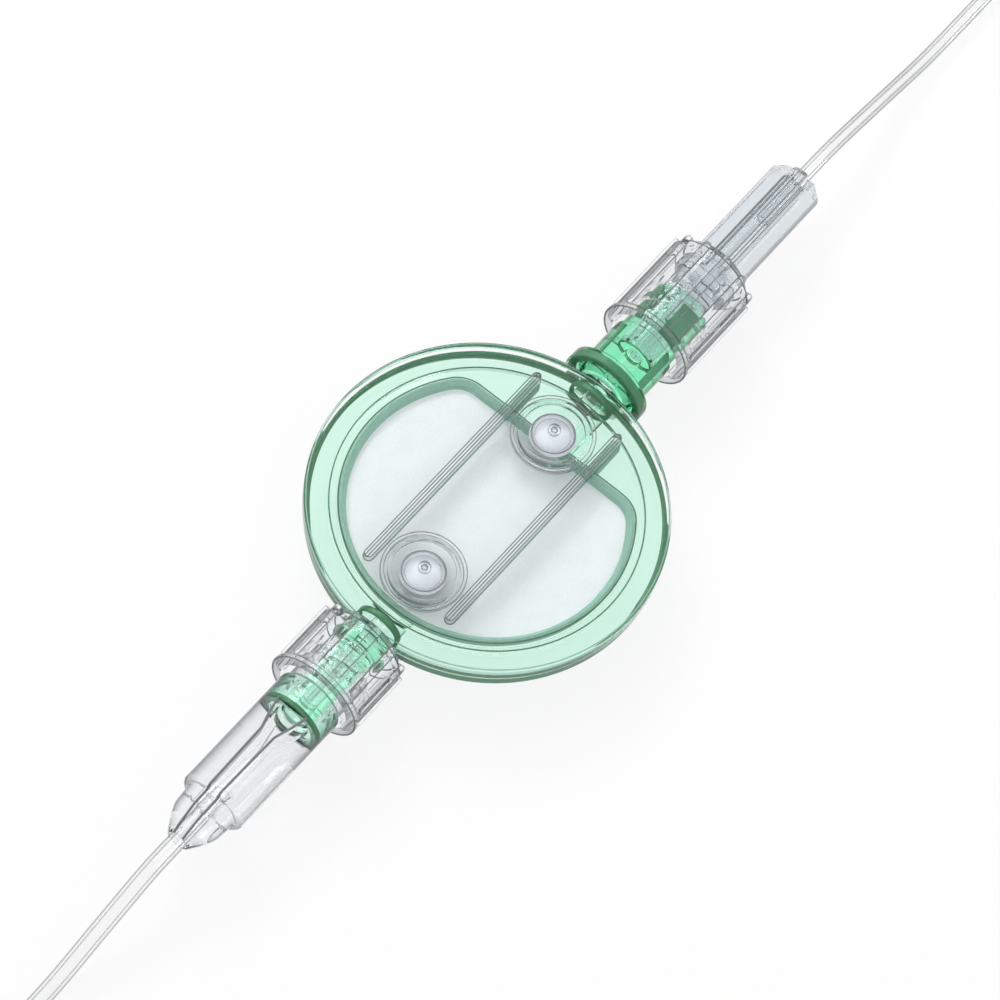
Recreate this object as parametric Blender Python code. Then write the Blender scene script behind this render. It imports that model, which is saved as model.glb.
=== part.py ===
"""In-line infusion filter: a round membrane housing between two luer-lock tube lines.

The flow axis runs along X, the inlet at +X and the outlet at -X, and the vents look up (+Z).
Everything is placed from one empty on the flow axis above the middle of the disc, so all
local sizes are measured along the axis from the disc's centre. The part stands on its two
lock collars. The origin is under the middle of the housing with its connectors, without lines.
"""
import math

import bmesh
import bpy
from mathutils import Matrix, Vector

MM = 0.001

# Housing disc; what lies in it is measured in from its edge
DISC_RADIUS = 18.5 * MM
RIM_STEP = 0.2 * MM
SEAM_HEIGHT = 0.1 * MM
COVER_HEIGHT = 2.0 * MM
BASE_DEPTH = 1.7 * MM
EDGE_CHAMFER = 0.35 * MM
CHAMBER_WALL = 2.5 * MM
CHAMBER_HEIGHT = 0.95 * MM
FIT = 0.15 * MM

# Membrane window: a circle cut by a chord on the inlet side
WINDOW_BORDER = 3.6 * MM
CHORD_BORDER = 8.2 * MM
WINDOW_CORNER = 3.5 * MM
WELD_WIDTH = 0.8 * MM
MEMBRANE_THICKNESS = 0.15 * MM
DRAIN_DEPTH = 0.45 * MM
DRAIN_LAND = 1.2 * MM
DRAIN_COUNT = 5

# Stiffening ribs on the cover
RIB_OFFSET = 5.2 * MM
RIB_WIDTH = 1.1 * MM
RIB_HEIGHT = 0.9 * MM
RIB_INLET_BORDER = 3.9 * MM
RIB_OUTLET_BORDER = 5.3 * MM

# Air vents in the cover
VENT_BORDER = 8.1 * MM
VENT_RING_RADIUS = 4.4 * MM
VENT_RING_WIDTH = 0.45 * MM
VENT_RING_HEIGHT = 0.4 * MM
VENT_SEAT_DEPTH = 0.55 * MM
VENT_HOLE_RADIUS = 1.5 * MM
VENT_MEMBRANE_RADIUS = 2.4 * MM
VENT_DOME_RADIUS = 2.2 * MM
VENT_DOME_HEIGHT = 0.7 * MM
VENT_CAP_THICKNESS = 0.4 * MM
VENT_CAP_RIM = 0.4 * MM
VENT_NIPPLE_RADIUS = 0.65 * MM
VENT_NIPPLE_HEIGHT = 0.4 * MM
VENT_PORT_RADIUS = 0.3 * MM

# Luer lock joint, 6 percent taper on the diameter
LUER_SLOPE = 0.03
LUER_MOUTH_RADIUS = 2.15 * MM
LUER_DEPTH = 7.9 * MM
LUER_TIP_GAP = 0.5 * MM
HUB_RADIUS = 3.25 * MM
LUG_RADIUS = 3.85 * MM
LUG_WIDTH = 0.9 * MM
LUG_SETBACK = 1.05 * MM
LUG_SPAN = math.radians(70)
THREAD_LEAD = 5.0 * MM
THREAD_STARTS = 2
THREAD_ROOT_RADIUS = 4.05 * MM
THREAD_CREST_RADIUS = 3.5 * MM
THREAD_ROOT_WIDTH = 0.95 * MM
THREAD_CREST_WIDTH = 0.4 * MM
THREAD_LEAD_IN = 0.9 * MM

# Lock collars
COLLAR_RADIUS = 5.3 * MM
COLLAR_BODY_RADIUS = 4.95 * MM
COLLAR_LIP = 0.5 * MM
COLLAR_BACK_WALL = 1.2 * MM
COLLAR_CHAMFER = 1.1 * MM
COLLAR_RIB_WIDTH = 0.9 * MM
COLLAR_RIB_COUNT = 12
INLET_COLLAR_LENGTH = 12.0 * MM
OUTLET_COLLAR_LENGTH = 8.5 * MM

# Channels and necks of the housing
CHANNEL_RADIUS = 0.9 * MM
BOSS_RADIUS = 2.65 * MM
FLANGE_RADIUS = 4.75 * MM
FLANGE_THICKNESS = 1.5 * MM
INLET_HUB_LENGTH = 11.8 * MM
INLET_HUB_RADIUS = 3.6 * MM
INLET_COLLAR_OVERLAP = 6.1 * MM
NECK_BEAD_HEIGHT = 0.5 * MM
NECK_BEAD_LENGTH = 0.7 * MM
OUTLET_SEAT_GAP = 2.0 * MM

# Inlet tube connector: male cone, stop flange and a body with four fins
STOP_RADIUS = 3.45 * MM
STOP_THICKNESS = 1.2 * MM
FIN_RADIUS = 3.05 * MM
FIN_CORE_RADIUS = 1.55 * MM
SIDE_FIN_WIDTH = 2.3 * MM
TOP_FIN_WIDTH = 1.5 * MM
FIN_BODY_LENGTH = 15.95 * MM
FIN_END_CHAMFER = 1.2 * MM
TUBE_SOCKET_DEPTH = 7.0 * MM
BORE_RADIUS = 0.7 * MM

# Outlet tube connector: female hub, grooved body, nose
BODY_RADIUS = 3.65 * MM
FUNNEL_LENGTH = 3.8 * MM
GRIP_LENGTH = 12.65 * MM
GROOVE_MOUTH_WIDTH = 3.5 * MM
GROOVE_WAIST_WIDTH = 1.6 * MM
GROOVE_END_WIDTH = 1.3 * MM
GROOVE_WALL = 0.8 * MM
SIDE_GROOVE_DEPTH = 1.2 * MM
NOSE_RADIUS = 2.75 * MM
NOSE_STEP_LENGTH = 2.0 * MM
NOSE_LENGTH = 3.0 * MM
NOSE_RIDGE_WIDTH = 1.9 * MM
NOSE_FLUTE_RADIUS = 0.45 * MM

# Tube lines, each lying on the floor in a flat coil with its end fitting inside the ring
INLET_TUBE_DIAMETER = 1.55 * MM
OUTLET_TUBE_DIAMETER = 1.9 * MM
COIL_TURN_GAP = 0.25 * MM
COIL_INNER_TURN = 10.8 * MM
INLET_LEAD = 46.0 * MM
OUTLET_LEAD = 37.15 * MM
SAG_ROUTE = ((0.15, 0.05), (0.37, 0.45), (0.59, 0.88), (0.78, 0.98))
CORD_GAP = 0.3 * MM
TAIL_BEND_RADIUS = 3.8 * MM
TAIL_START_ANGLE = math.radians(135)
FITTING_SOCKET_DEPTH = 3.4 * MM
FITTING_BODY_RADIUS = 3.4 * MM
FITTING_NECK_RADIUS = 1.9 * MM
FITTING_SKIRT_RADIUS = 4.7 * MM
FITTING_SKIRT_LENGTH = 6.2 * MM

# Places that follow from the sizes above, along the flow axis from the disc's centre
AXIS_HEIGHT = COLLAR_RADIUS
BASE_RIM_RADIUS = DISC_RADIUS - RIM_STEP
CHAMBER_RADIUS = DISC_RADIUS - CHAMBER_WALL
WINDOW_RADIUS = DISC_RADIUS - WINDOW_BORDER
WINDOW_CHORD = DISC_RADIUS - CHORD_BORDER
DRAIN_PITCH = (WINDOW_RADIUS - WELD_WIDTH) / (DRAIN_COUNT + 0.25)
VENT_OFFSET = DISC_RADIUS - VENT_BORDER
COVER_UNDERSIDE = SEAM_HEIGHT + FIT
COVER_TOP = SEAM_HEIGHT + COVER_HEIGHT
BASE_BOTTOM = SEAM_HEIGHT - BASE_DEPTH
CHAMBER_TOP = COVER_UNDERSIDE + CHAMBER_HEIGHT
BED_HEIGHT = COVER_UNDERSIDE - MEMBRANE_THICKNESS - 2 * FIT
FLANGE_START = DISC_RADIUS + 2 * FIT
INLET_MOUTH = FLANGE_START + FLANGE_THICKNESS + INLET_HUB_LENGTH
INLET_COLLAR_MOUTH = INLET_MOUTH - INLET_COLLAR_OVERLAP
INLET_SOCKET_BOTTOM = INLET_MOUTH - LUER_DEPTH
INLET_COLLAR_BACK = INLET_COLLAR_MOUTH + INLET_COLLAR_LENGTH
STOP_BACK = INLET_COLLAR_BACK - COLLAR_BACK_WALL - FIT
INLET_EXIT = STOP_BACK + FIN_BODY_LENGTH
OUTLET_COLLAR_BACK = -(DISC_RADIUS + 2 * FIT)
OUTLET_COLLAR_MOUTH = OUTLET_COLLAR_BACK - OUTLET_COLLAR_LENGTH
NECK_BEAD_START = OUTLET_COLLAR_BACK - COLLAR_BACK_WALL - FIT
OUTLET_MOUTH = NECK_BEAD_START - NECK_BEAD_LENGTH - OUTLET_SEAT_GAP
OUTLET_TIP = OUTLET_MOUTH - LUER_DEPTH + LUER_TIP_GAP
OUTLET_SOCKET_BOTTOM = OUTLET_MOUTH - LUER_DEPTH
GRIP_END = OUTLET_TIP - GRIP_LENGTH
NOSE_START = GRIP_END - NOSE_STEP_LENGTH
OUTLET_EXIT = NOSE_START - NOSE_LENGTH
DISC_X = -(INLET_EXIT + OUTLET_EXIT) / 2
EMBED = 0.2 * MM

# Facets of the turned shapes
DISC_STEPS = 64
GROOVE_STEPS = 32
COLLAR_STEPS = 36
HUB_STEPS = 28
BORE_STEPS = 16
VENT_STEPS = 20
ROUND_END_STEPS = 3
THREAD_STEPS_PER_TURN = 16

WELD = 1e-7
SHARP_ANGLE = math.radians(35)
X_AXIS = Vector((1, 0, 0))
Z_AXIS = Vector((0, 0, 1))

GREEN = ((0.36, 0.78, 0.58, 0.55), 0.12)
CLEAR = ((0.82, 0.86, 0.88, 0.35), 0.10)
WHITE = ((0.93, 0.94, 0.95, 1.0), 0.75)
PALE = ((0.86, 0.89, 0.92, 1.0), 0.6)
TUBE = ((0.88, 0.91, 0.93, 0.4), 0.15)


def clear_scene():
    for thing in list(bpy.data.objects):
        bpy.data.objects.remove(thing, do_unlink=True)


def plastic(name, finish):
    colour, roughness = finish
    material = bpy.data.materials.get(name)
    if material is None:
        material = bpy.data.materials.new(name)
        material.use_nodes = True
        shader = material.node_tree.nodes["Principled BSDF"]
        shader.inputs["Base Color"].default_value = colour
        shader.inputs["Alpha"].default_value = colour[3]
        shader.inputs["Roughness"].default_value = roughness
        shader.inputs["Metallic"].default_value = 0.0
    return material


def shade(mesh):
    """Smooth round faces with sharp edges kept."""
    mesh.shade_smooth()
    mesh.set_sharp_from_angle(angle=SHARP_ANGLE)


def solid(name, shape, material=None, parent=None, location=(0, 0, 0)):
    """An object from a closed bmesh."""
    bmesh.ops.recalc_face_normals(shape, faces=shape.faces)
    mesh = bpy.data.meshes.new(name)
    shape.to_mesh(mesh)
    shape.free()
    shade(mesh)
    thing = bpy.data.objects.new(name, mesh)
    bpy.context.scene.collection.objects.link(thing)
    thing.parent = parent
    thing.location = location
    if material is not None:
        mesh.materials.append(material)
    return thing


def combine(target, tool, operation):
    """Boolean of the target with a hidden tool object."""
    modifier = target.modifiers.new(tool.name, "BOOLEAN")
    modifier.operation = operation
    modifier.object = tool
    modifier.solver = "EXACT"
    tool.hide_render = True
    tool.display_type = "WIRE"


def add(target, tool):
    combine(target, tool, "UNION")


def cut(target, tool):
    combine(target, tool, "DIFFERENCE")


def keep(target, tool):
    combine(target, tool, "INTERSECT")


def settle_booleans():
    """Bake each piece's booleans, then remove the tools."""
    graph = bpy.context.evaluated_depsgraph_get()
    pieces = [thing for thing in bpy.data.objects if thing.type == "MESH" and not thing.hide_render]
    baked = [bpy.data.meshes.new_from_object(piece.evaluated_get(graph)) for piece in pieces]
    for piece, mesh in zip(pieces, baked):
        piece.modifiers.clear()
        piece.data = mesh
        mesh.name = piece.name
        shade(mesh)
    for tool in [thing for thing in bpy.data.objects if thing.hide_render]:
        bpy.data.objects.remove(tool, do_unlink=True)


def turned(outline, segments, axis=X_AXIS):
    """A body turned about X or Z from (along, radius) points; a loop where it stays off the axis."""
    shape = bmesh.new()
    if axis is X_AXIS:
        corners = [shape.verts.new((along, 0, radius)) for along, radius in outline]
    else:
        corners = [shape.verts.new((radius, 0, along)) for along, radius in outline]
    edges = [shape.edges.new(pair) for pair in zip(corners, corners[1:])]
    if outline[0][1] > 0:
        edges.append(shape.edges.new((corners[-1], corners[0])))
    bmesh.ops.spin(shape, geom=corners + edges, cent=(0, 0, 0), axis=axis,
                   angle=2 * math.pi, steps=segments, use_duplicate=False)
    bmesh.ops.remove_doubles(shape, verts=shape.verts, dist=WELD)
    return shape


def rod(start, end, radius, segments, axis=X_AXIS):
    return turned([(start, 0), (start, radius), (end, radius), (end, 0)], segments, axis)


def prism(outline, low, high):
    """A flat outline in XY raised from one height to another."""
    shape = bmesh.new()
    face = shape.faces.new([shape.verts.new((x, y, low)) for x, y in outline])
    raised = bmesh.ops.extrude_face_region(shape, geom=[face])
    tops = [item for item in raised["geom"] if isinstance(item, bmesh.types.BMVert)]
    bmesh.ops.translate(shape, verts=tops, vec=(0, 0, high - low))
    return shape


def loft(rings):
    """A closed skin over rings of points, each with as many points as the next."""
    shape = bmesh.new()
    loops = [[shape.verts.new(point) for point in ring] for ring in rings]
    count = len(loops[0])
    for loop, following in zip(loops, loops[1:]):
        for side in range(count):
            after = (side + 1) % count
            shape.faces.new((loop[side], loop[after], following[after], following[side]))
    shape.faces.new(loops[0])
    shape.faces.new(loops[-1])
    return shape


def stack(shapes):
    """Several closed shapes as one tool."""
    joined = bmesh.new()
    for shape in shapes:
        mesh = bpy.data.meshes.new("piece")
        shape.to_mesh(mesh)
        shape.free()
        joined.from_mesh(mesh)
        bpy.data.meshes.remove(mesh)
    return joined


def rolled(shape, angle):
    """The shape turned about the flow axis."""
    bmesh.ops.rotate(shape, verts=shape.verts, cent=(0, 0, 0), matrix=Matrix.Rotation(angle, 3, "X"))
    return shape


def stadium(start, end, width, steps=ROUND_END_STEPS):
    """Outline of a bar with round ends."""
    radius = width / 2
    points = []
    for centre, first in ((end - radius, -math.pi / 2), (start + radius, math.pi / 2)):
        for step in range(steps + 1):
            angle = first + math.pi * step / steps
            points.append((centre + radius * math.cos(angle), radius * math.sin(angle)))
    return points


def window_outline(offset, arc_steps=48, corner_steps=4):
    """The membrane window grown by an offset: a circle, a chord and two round corners."""
    radius = WINDOW_RADIUS + offset
    chord = WINDOW_CHORD + offset
    corner = WINDOW_CORNER + offset
    corner_x = chord - corner
    corner_y = math.sqrt((radius - corner) ** 2 - corner_x ** 2)
    join = math.atan2(corner_y, corner_x)
    points = []
    for step in range(arc_steps + 1):
        angle = join + (2 * math.pi - 2 * join) * step / arc_steps
        points.append((radius * math.cos(angle), radius * math.sin(angle)))
    for step in range(1, corner_steps + 1):
        angle = -join + join * step / corner_steps
        points.append((corner_x + corner * math.cos(angle), -corner_y + corner * math.sin(angle)))
    for step in range(corner_steps):
        angle = join * step / corner_steps
        points.append((corner_x + corner * math.cos(angle), corner_y + corner * math.sin(angle)))
    return points


def helix_bar(place, start_angle, end_angle, inner, outer, inner_width, outer_width, steps):
    """A bar of trapezoid section wound round X with the thread's lead; place is its x at angle 0."""
    section = ((-inner_width / 2, inner), (inner_width / 2, inner),
               (outer_width / 2, outer), (-outer_width / 2, outer))
    rings = []
    for step in range(steps + 1):
        angle = start_angle + (end_angle - start_angle) * step / steps
        middle = place + THREAD_LEAD * angle / (2 * math.pi)
        rings.append([(middle + along, -radius * math.sin(angle), radius * math.cos(angle))
                      for along, radius in section])
    return loft(rings)


def luer_radius(distance_from_mouth):
    return LUER_MOUTH_RADIUS - LUER_SLOPE * distance_from_mouth


def lugs(mouth):
    """Two opposed thread lugs at a female hub's mouth."""
    bars = []
    steps = 4
    for start in range(THREAD_STARTS):
        turn = 2 * math.pi * start / THREAD_STARTS
        middle = mouth - LUG_SETBACK - THREAD_LEAD * turn / (2 * math.pi)
        bars.append(helix_bar(middle, turn - LUG_SPAN / 2, turn + LUG_SPAN / 2,
                              HUB_RADIUS - EMBED, LUG_RADIUS, LUG_WIDTH, LUG_WIDTH * 0.8, steps))
    return stack(bars)


def thread(hub_mouth, low, high):
    """The double-start thread between two planes, each ridge midway between the lugs' paths."""
    pitch = THREAD_LEAD / THREAD_STARTS
    bars = []
    for start in range(THREAD_STARTS):
        place = hub_mouth - LUG_SETBACK + pitch / 2 + pitch * start
        half = THREAD_ROOT_WIDTH / 2
        first = 2 * math.pi * (low + half - place) / THREAD_LEAD
        last = 2 * math.pi * (high - half - place) / THREAD_LEAD
        steps = math.ceil(THREAD_STEPS_PER_TURN * (last - first) / (2 * math.pi))
        bars.append(helix_bar(place, first, last, THREAD_CREST_RADIUS, THREAD_ROOT_RADIUS + EMBED,
                              THREAD_CREST_WIDTH, THREAD_ROOT_WIDTH, steps))
    return stack(bars)


def lock_collar(name, mouth, length, hub_mouth, hole_radius, material, parent):
    """A turning collar: grip ribs outside, a back wall with a hole, the thread inside."""
    back = mouth + length
    inner_back = back - COLLAR_BACK_WALL
    lip_slope = COLLAR_RADIUS - COLLAR_BODY_RADIUS
    shell = turned([
        (mouth, THREAD_ROOT_RADIUS),
        (mouth, COLLAR_RADIUS),
        (mouth + COLLAR_LIP, COLLAR_RADIUS),
        (mouth + COLLAR_LIP + lip_slope, COLLAR_BODY_RADIUS),
        (back - COLLAR_CHAMFER, COLLAR_BODY_RADIUS),
        (back, COLLAR_BODY_RADIUS - COLLAR_CHAMFER),
        (back, hole_radius),
        (inner_back, hole_radius),
        (inner_back, THREAD_ROOT_RADIUS),
    ], COLLAR_STEPS)
    collar = solid(name, shell, material, parent)
    rib_top = math.sqrt(COLLAR_RADIUS ** 2 - (COLLAR_RIB_WIDTH / 2) ** 2)
    bars = []
    for index in range(COLLAR_RIB_COUNT):
        outline = stadium(mouth + 2 * COLLAR_LIP, back - COLLAR_CHAMFER / 2, COLLAR_RIB_WIDTH)
        bar = prism(outline, COLLAR_BODY_RADIUS - COLLAR_CHAMFER / 2 - EMBED, rib_top)
        bars.append(rolled(bar, 2 * math.pi * (index + 0.5) / COLLAR_RIB_COUNT))
    add(collar, solid(name + ".ribs", stack(bars), None, parent))
    ridge = thread(hub_mouth, mouth + THREAD_LEAD_IN, hub_mouth + THREAD_ROOT_WIDTH)
    add(collar, solid(name + ".thread", ridge, None, parent))
    return collar


def inlet_neck():
    """Boss over the rim, flange and female hub, solid inside, along +X."""
    hub_end = INLET_COLLAR_MOUTH - FIT
    return turned([
        (VENT_OFFSET, 0),
        (VENT_OFFSET, BOSS_RADIUS),
        (FLANGE_START, BOSS_RADIUS),
        (FLANGE_START, FLANGE_RADIUS),
        (FLANGE_START + FLANGE_THICKNESS, FLANGE_RADIUS),
        (FLANGE_START + FLANGE_THICKNESS, INLET_HUB_RADIUS),
        (hub_end - FIT, INLET_HUB_RADIUS),
        (hub_end, HUB_RADIUS),
        (INLET_MOUTH, HUB_RADIUS),
        (INLET_MOUTH, 0),
    ], HUB_STEPS)


def outlet_neck():
    """Boss over the rim, neck, snap bead and male cone, solid inside, along -X."""
    bead_end = NECK_BEAD_START - NECK_BEAD_LENGTH
    return turned([
        (OUTLET_TIP, 0),
        (OUTLET_TIP, luer_radius(OUTLET_MOUTH - OUTLET_TIP) - FIT),
        (OUTLET_MOUTH, luer_radius(0) - FIT),
        (bead_end, luer_radius(OUTLET_MOUTH - bead_end) - FIT),
        (bead_end, BOSS_RADIUS),
        (bead_end + NECK_BEAD_LENGTH / 2, BOSS_RADIUS + NECK_BEAD_HEIGHT),
        (NECK_BEAD_START, BOSS_RADIUS + NECK_BEAD_HEIGHT),
        (NECK_BEAD_START, BOSS_RADIUS),
        (-VENT_OFFSET, BOSS_RADIUS),
        (-VENT_OFFSET, 0),
    ], HUB_STEPS)


def drain_grooves(parent):
    """Ring grooves under the membrane, kept inside the window."""
    rings = []
    for index in range(DRAIN_COUNT):
        outer = WINDOW_RADIUS - WELD_WIDTH - DRAIN_PITCH * index
        inner = outer - DRAIN_PITCH + DRAIN_LAND
        rings.append(turned([
            (BED_HEIGHT - DRAIN_DEPTH, inner),
            (BED_HEIGHT - DRAIN_DEPTH, outer),
            (SEAM_HEIGHT, outer),
            (SEAM_HEIGHT, inner),
        ], GROOVE_STEPS, Z_AXIS))
    grooves = solid("drain_grooves", stack(rings), None, parent)
    inside = prism(window_outline(-WELD_WIDTH), BED_HEIGHT - 2 * DRAIN_DEPTH, 2 * COVER_TOP)
    keep(grooves, solid("drain_window", inside, None, parent))
    return grooves


def housing_base(parent):
    base = solid("housing_base", turned([
        (BASE_BOTTOM, 0),
        (BASE_BOTTOM, BASE_RIM_RADIUS - EDGE_CHAMFER),
        (BASE_BOTTOM + EDGE_CHAMFER, BASE_RIM_RADIUS),
        (SEAM_HEIGHT, BASE_RIM_RADIUS),
        (SEAM_HEIGHT, 0),
    ], DISC_STEPS, Z_AXIS), plastic("green_plastic", GREEN), parent)
    necks = solid("necks", stack([inlet_neck(), outlet_neck()]), None, parent)
    cover_room = rod(SEAM_HEIGHT, 2 * FLANGE_RADIUS, DISC_RADIUS + FIT, DISC_STEPS, Z_AXIS)
    cut(necks, solid("cover_room", cover_room, None, parent))
    add(base, necks)
    add(base, solid("inlet_lugs", lugs(INLET_MOUTH), None, parent))
    bed = prism(window_outline(FIT), BED_HEIGHT, 2 * COVER_TOP)
    cut(base, solid("membrane_bed", bed, None, parent))
    cut(base, drain_grooves(parent))
    inlet_bore = turned([
        (WINDOW_CHORD + WELD_WIDTH, 0),
        (WINDOW_CHORD + WELD_WIDTH, CHANNEL_RADIUS),
        (INLET_SOCKET_BOTTOM, CHANNEL_RADIUS),
        (INLET_SOCKET_BOTTOM, luer_radius(LUER_DEPTH)),
        (INLET_MOUTH + EMBED, luer_radius(-EMBED)),
        (INLET_MOUTH + EMBED, 0),
    ], BORE_STEPS)
    cut(base, solid("inlet_bore", inlet_bore, None, parent))
    outlet_bore = rod(OUTLET_TIP - EMBED, -WINDOW_RADIUS + 2 * WELD_WIDTH, CHANNEL_RADIUS, BORE_STEPS)
    cut(base, solid("outlet_bore", outlet_bore, None, parent))
    crossing = stadium(-WINDOW_RADIUS + WELD_WIDTH, WINDOW_CHORD - 2 * WELD_WIDTH, 2 * CHANNEL_RADIUS)
    collector = prism(crossing, BED_HEIGHT - DRAIN_DEPTH, 2 * COVER_TOP)
    cut(base, solid("collector", collector, None, parent))
    return base


def housing_cover(parent):
    cover = solid("housing_cover", turned([
        (COVER_UNDERSIDE, 0),
        (COVER_UNDERSIDE, DISC_RADIUS),
        (COVER_TOP - EDGE_CHAMFER, DISC_RADIUS),
        (COVER_TOP, DISC_RADIUS - EDGE_CHAMFER),
        (COVER_TOP, 0),
    ], DISC_STEPS, Z_AXIS), plastic("clear_plastic", CLEAR), parent)
    boss_inner = VENT_OFFSET + VENT_RING_RADIUS - VENT_RING_WIDTH
    bosses = solid("cover_bosses", stack([
        rod(boss_inner, 2 * DISC_RADIUS, BOSS_RADIUS, HUB_STEPS),
        rod(-2 * DISC_RADIUS, -boss_inner, BOSS_RADIUS, HUB_STEPS),
    ]), None, parent)
    cover_limit = rod(COVER_UNDERSIDE, 2 * FLANGE_RADIUS, DISC_RADIUS, DISC_STEPS, Z_AXIS)
    keep(bosses, solid("cover_limit", cover_limit, None, parent))
    add(cover, bosses)
    ribs = []
    rib_outline = stadium(RIB_OUTLET_BORDER - DISC_RADIUS, DISC_RADIUS - RIB_INLET_BORDER, RIB_WIDTH)
    for side in (-1, 1):
        outline = [(x, y + side * RIB_OFFSET) for x, y in rib_outline]
        ribs.append(prism(outline, COVER_TOP - EMBED, COVER_TOP + RIB_HEIGHT))
    add(cover, solid("cover_ribs", stack(ribs), None, parent))
    rings = []
    for side in (-1, 1):
        ring = turned([
            (COVER_TOP - EMBED, VENT_RING_RADIUS - VENT_RING_WIDTH),
            (COVER_TOP - EMBED, VENT_RING_RADIUS),
            (COVER_TOP + VENT_RING_HEIGHT, VENT_RING_RADIUS),
            (COVER_TOP + VENT_RING_HEIGHT, VENT_RING_RADIUS - VENT_RING_WIDTH),
        ], VENT_STEPS, Z_AXIS)
        bmesh.ops.translate(ring, verts=ring.verts, vec=(side * VENT_OFFSET, 0, 0))
        rings.append(ring)
    add(cover, solid("vent_rings", stack(rings), None, parent))
    chamber = rod(-COVER_HEIGHT, CHAMBER_TOP, CHAMBER_RADIUS, DISC_STEPS, Z_AXIS)
    cut(cover, solid("chamber", chamber, None, parent))
    weld_block = prism(window_outline(0), COVER_UNDERSIDE - FIT / 2, CHAMBER_TOP + EMBED)
    weld = solid("weld_band", weld_block, None, parent)
    inner = prism(window_outline(-WELD_WIDTH), -COVER_HEIGHT, 2 * COVER_HEIGHT)
    cut(weld, solid("weld_window", inner, None, parent))
    add(cover, weld)
    seats = []
    for side in (-1, 1):
        seat = turned([
            (0, 0),
            (0, VENT_HOLE_RADIUS),
            (COVER_TOP - VENT_SEAT_DEPTH, VENT_HOLE_RADIUS),
            (COVER_TOP - VENT_SEAT_DEPTH, VENT_RING_RADIUS - VENT_RING_WIDTH - FIT),
            (2 * COVER_TOP, VENT_RING_RADIUS - VENT_RING_WIDTH - FIT),
            (2 * COVER_TOP, 0),
        ], VENT_STEPS, Z_AXIS)
        bmesh.ops.translate(seat, verts=seat.verts, vec=(side * VENT_OFFSET, 0, 0))
        seats.append(seat)
    cut(cover, solid("vent_seats", stack(seats), None, parent))
    channel = stack([
        rod(WINDOW_CHORD - 2 * WELD_WIDTH, 2 * DISC_RADIUS, CHANNEL_RADIUS, BORE_STEPS),
        rod(-2 * DISC_RADIUS, -CHAMBER_RADIUS - WELD_WIDTH, CHANNEL_RADIUS, BORE_STEPS),
    ])
    cut(cover, solid("cover_channel", channel, None, parent))
    return cover


def filter_membrane(parent):
    sheet = prism(window_outline(0), BED_HEIGHT + FIT, BED_HEIGHT + FIT + MEMBRANE_THICKNESS)
    return solid("filter_membrane", sheet, plastic("membrane", WHITE), parent)


def vent_pieces(label, side, parent):
    """The water-shedding disc in the cover's seat and the ported cap over it."""
    floor = COVER_TOP - VENT_SEAT_DEPTH
    disc = rod(floor + FIT, floor + FIT + MEMBRANE_THICKNESS, VENT_MEMBRANE_RADIUS, VENT_STEPS, Z_AXIS)
    location = (side * VENT_OFFSET, 0, 0)
    solid(label + "_vent_membrane", disc, plastic("vent_membrane", PALE), parent, location)
    cap_radius = VENT_RING_RADIUS - VENT_RING_WIDTH - 2 * FIT
    low = floor + 2 * FIT + MEMBRANE_THICKNESS
    plate = low + VENT_CAP_THICKNESS
    dome = plate + VENT_DOME_HEIGHT
    roof = dome - VENT_CAP_THICKNESS
    outline = [
        (low, VENT_DOME_RADIUS - VENT_CAP_THICKNESS),
        (low, cap_radius),
        (plate + VENT_CAP_RIM, cap_radius),
        (plate + VENT_CAP_RIM, cap_radius - VENT_CAP_RIM),
        (plate, cap_radius - VENT_CAP_RIM),
    ]
    dome_steps = 4
    rise = dome - plate
    reach = VENT_DOME_RADIUS - VENT_NIPPLE_RADIUS
    for step in range(dome_steps + 1):
        angle = math.pi / 2 * step / dome_steps
        outline.append((plate + rise * math.sin(angle), VENT_NIPPLE_RADIUS + reach * math.cos(angle)))
    outline += [
        (dome + VENT_NIPPLE_HEIGHT, VENT_NIPPLE_RADIUS),
        (dome + VENT_NIPPLE_HEIGHT, VENT_PORT_RADIUS),
        (roof, VENT_PORT_RADIUS),
        (roof, VENT_NIPPLE_RADIUS),
        (low + FIT, VENT_DOME_RADIUS - VENT_CAP_THICKNESS),
    ]
    cap = turned(outline, VENT_STEPS, Z_AXIS)
    solid(label + "_vent_cap", cap, plastic("clear_plastic", CLEAR), parent, location)


def fin_section(side_width, top_width, corner_steps=3):
    """Cross of two side fins and two upright fins, round where they reach the envelope."""
    points = []
    for quarter in range(4):
        width = side_width if quarter % 2 == 0 else top_width
        other = top_width if quarter % 2 == 0 else side_width
        spread = math.asin(width / 2 / FIN_RADIUS)
        turn = quarter * math.pi / 2
        for step in range(corner_steps + 1):
            angle = -spread + 2 * spread * step / corner_steps
            local = (FIN_RADIUS * math.cos(angle), FIN_RADIUS * math.sin(angle))
            points.append((local[0] * math.cos(turn) - local[1] * math.sin(turn),
                           local[0] * math.sin(turn) + local[1] * math.cos(turn)))
        corner = (other / 2, width / 2)
        points.append((corner[0] * math.cos(turn) - corner[1] * math.sin(turn),
                       corner[0] * math.sin(turn) + corner[1] * math.cos(turn)))
    return points


def along_axis(section, start, end):
    """A (y, z) section drawn out along X."""
    shape = prism(section, start, end)
    for corner in shape.verts:
        y, z, x = corner.co
        corner.co = (x, y, z)
    return shape


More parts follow.
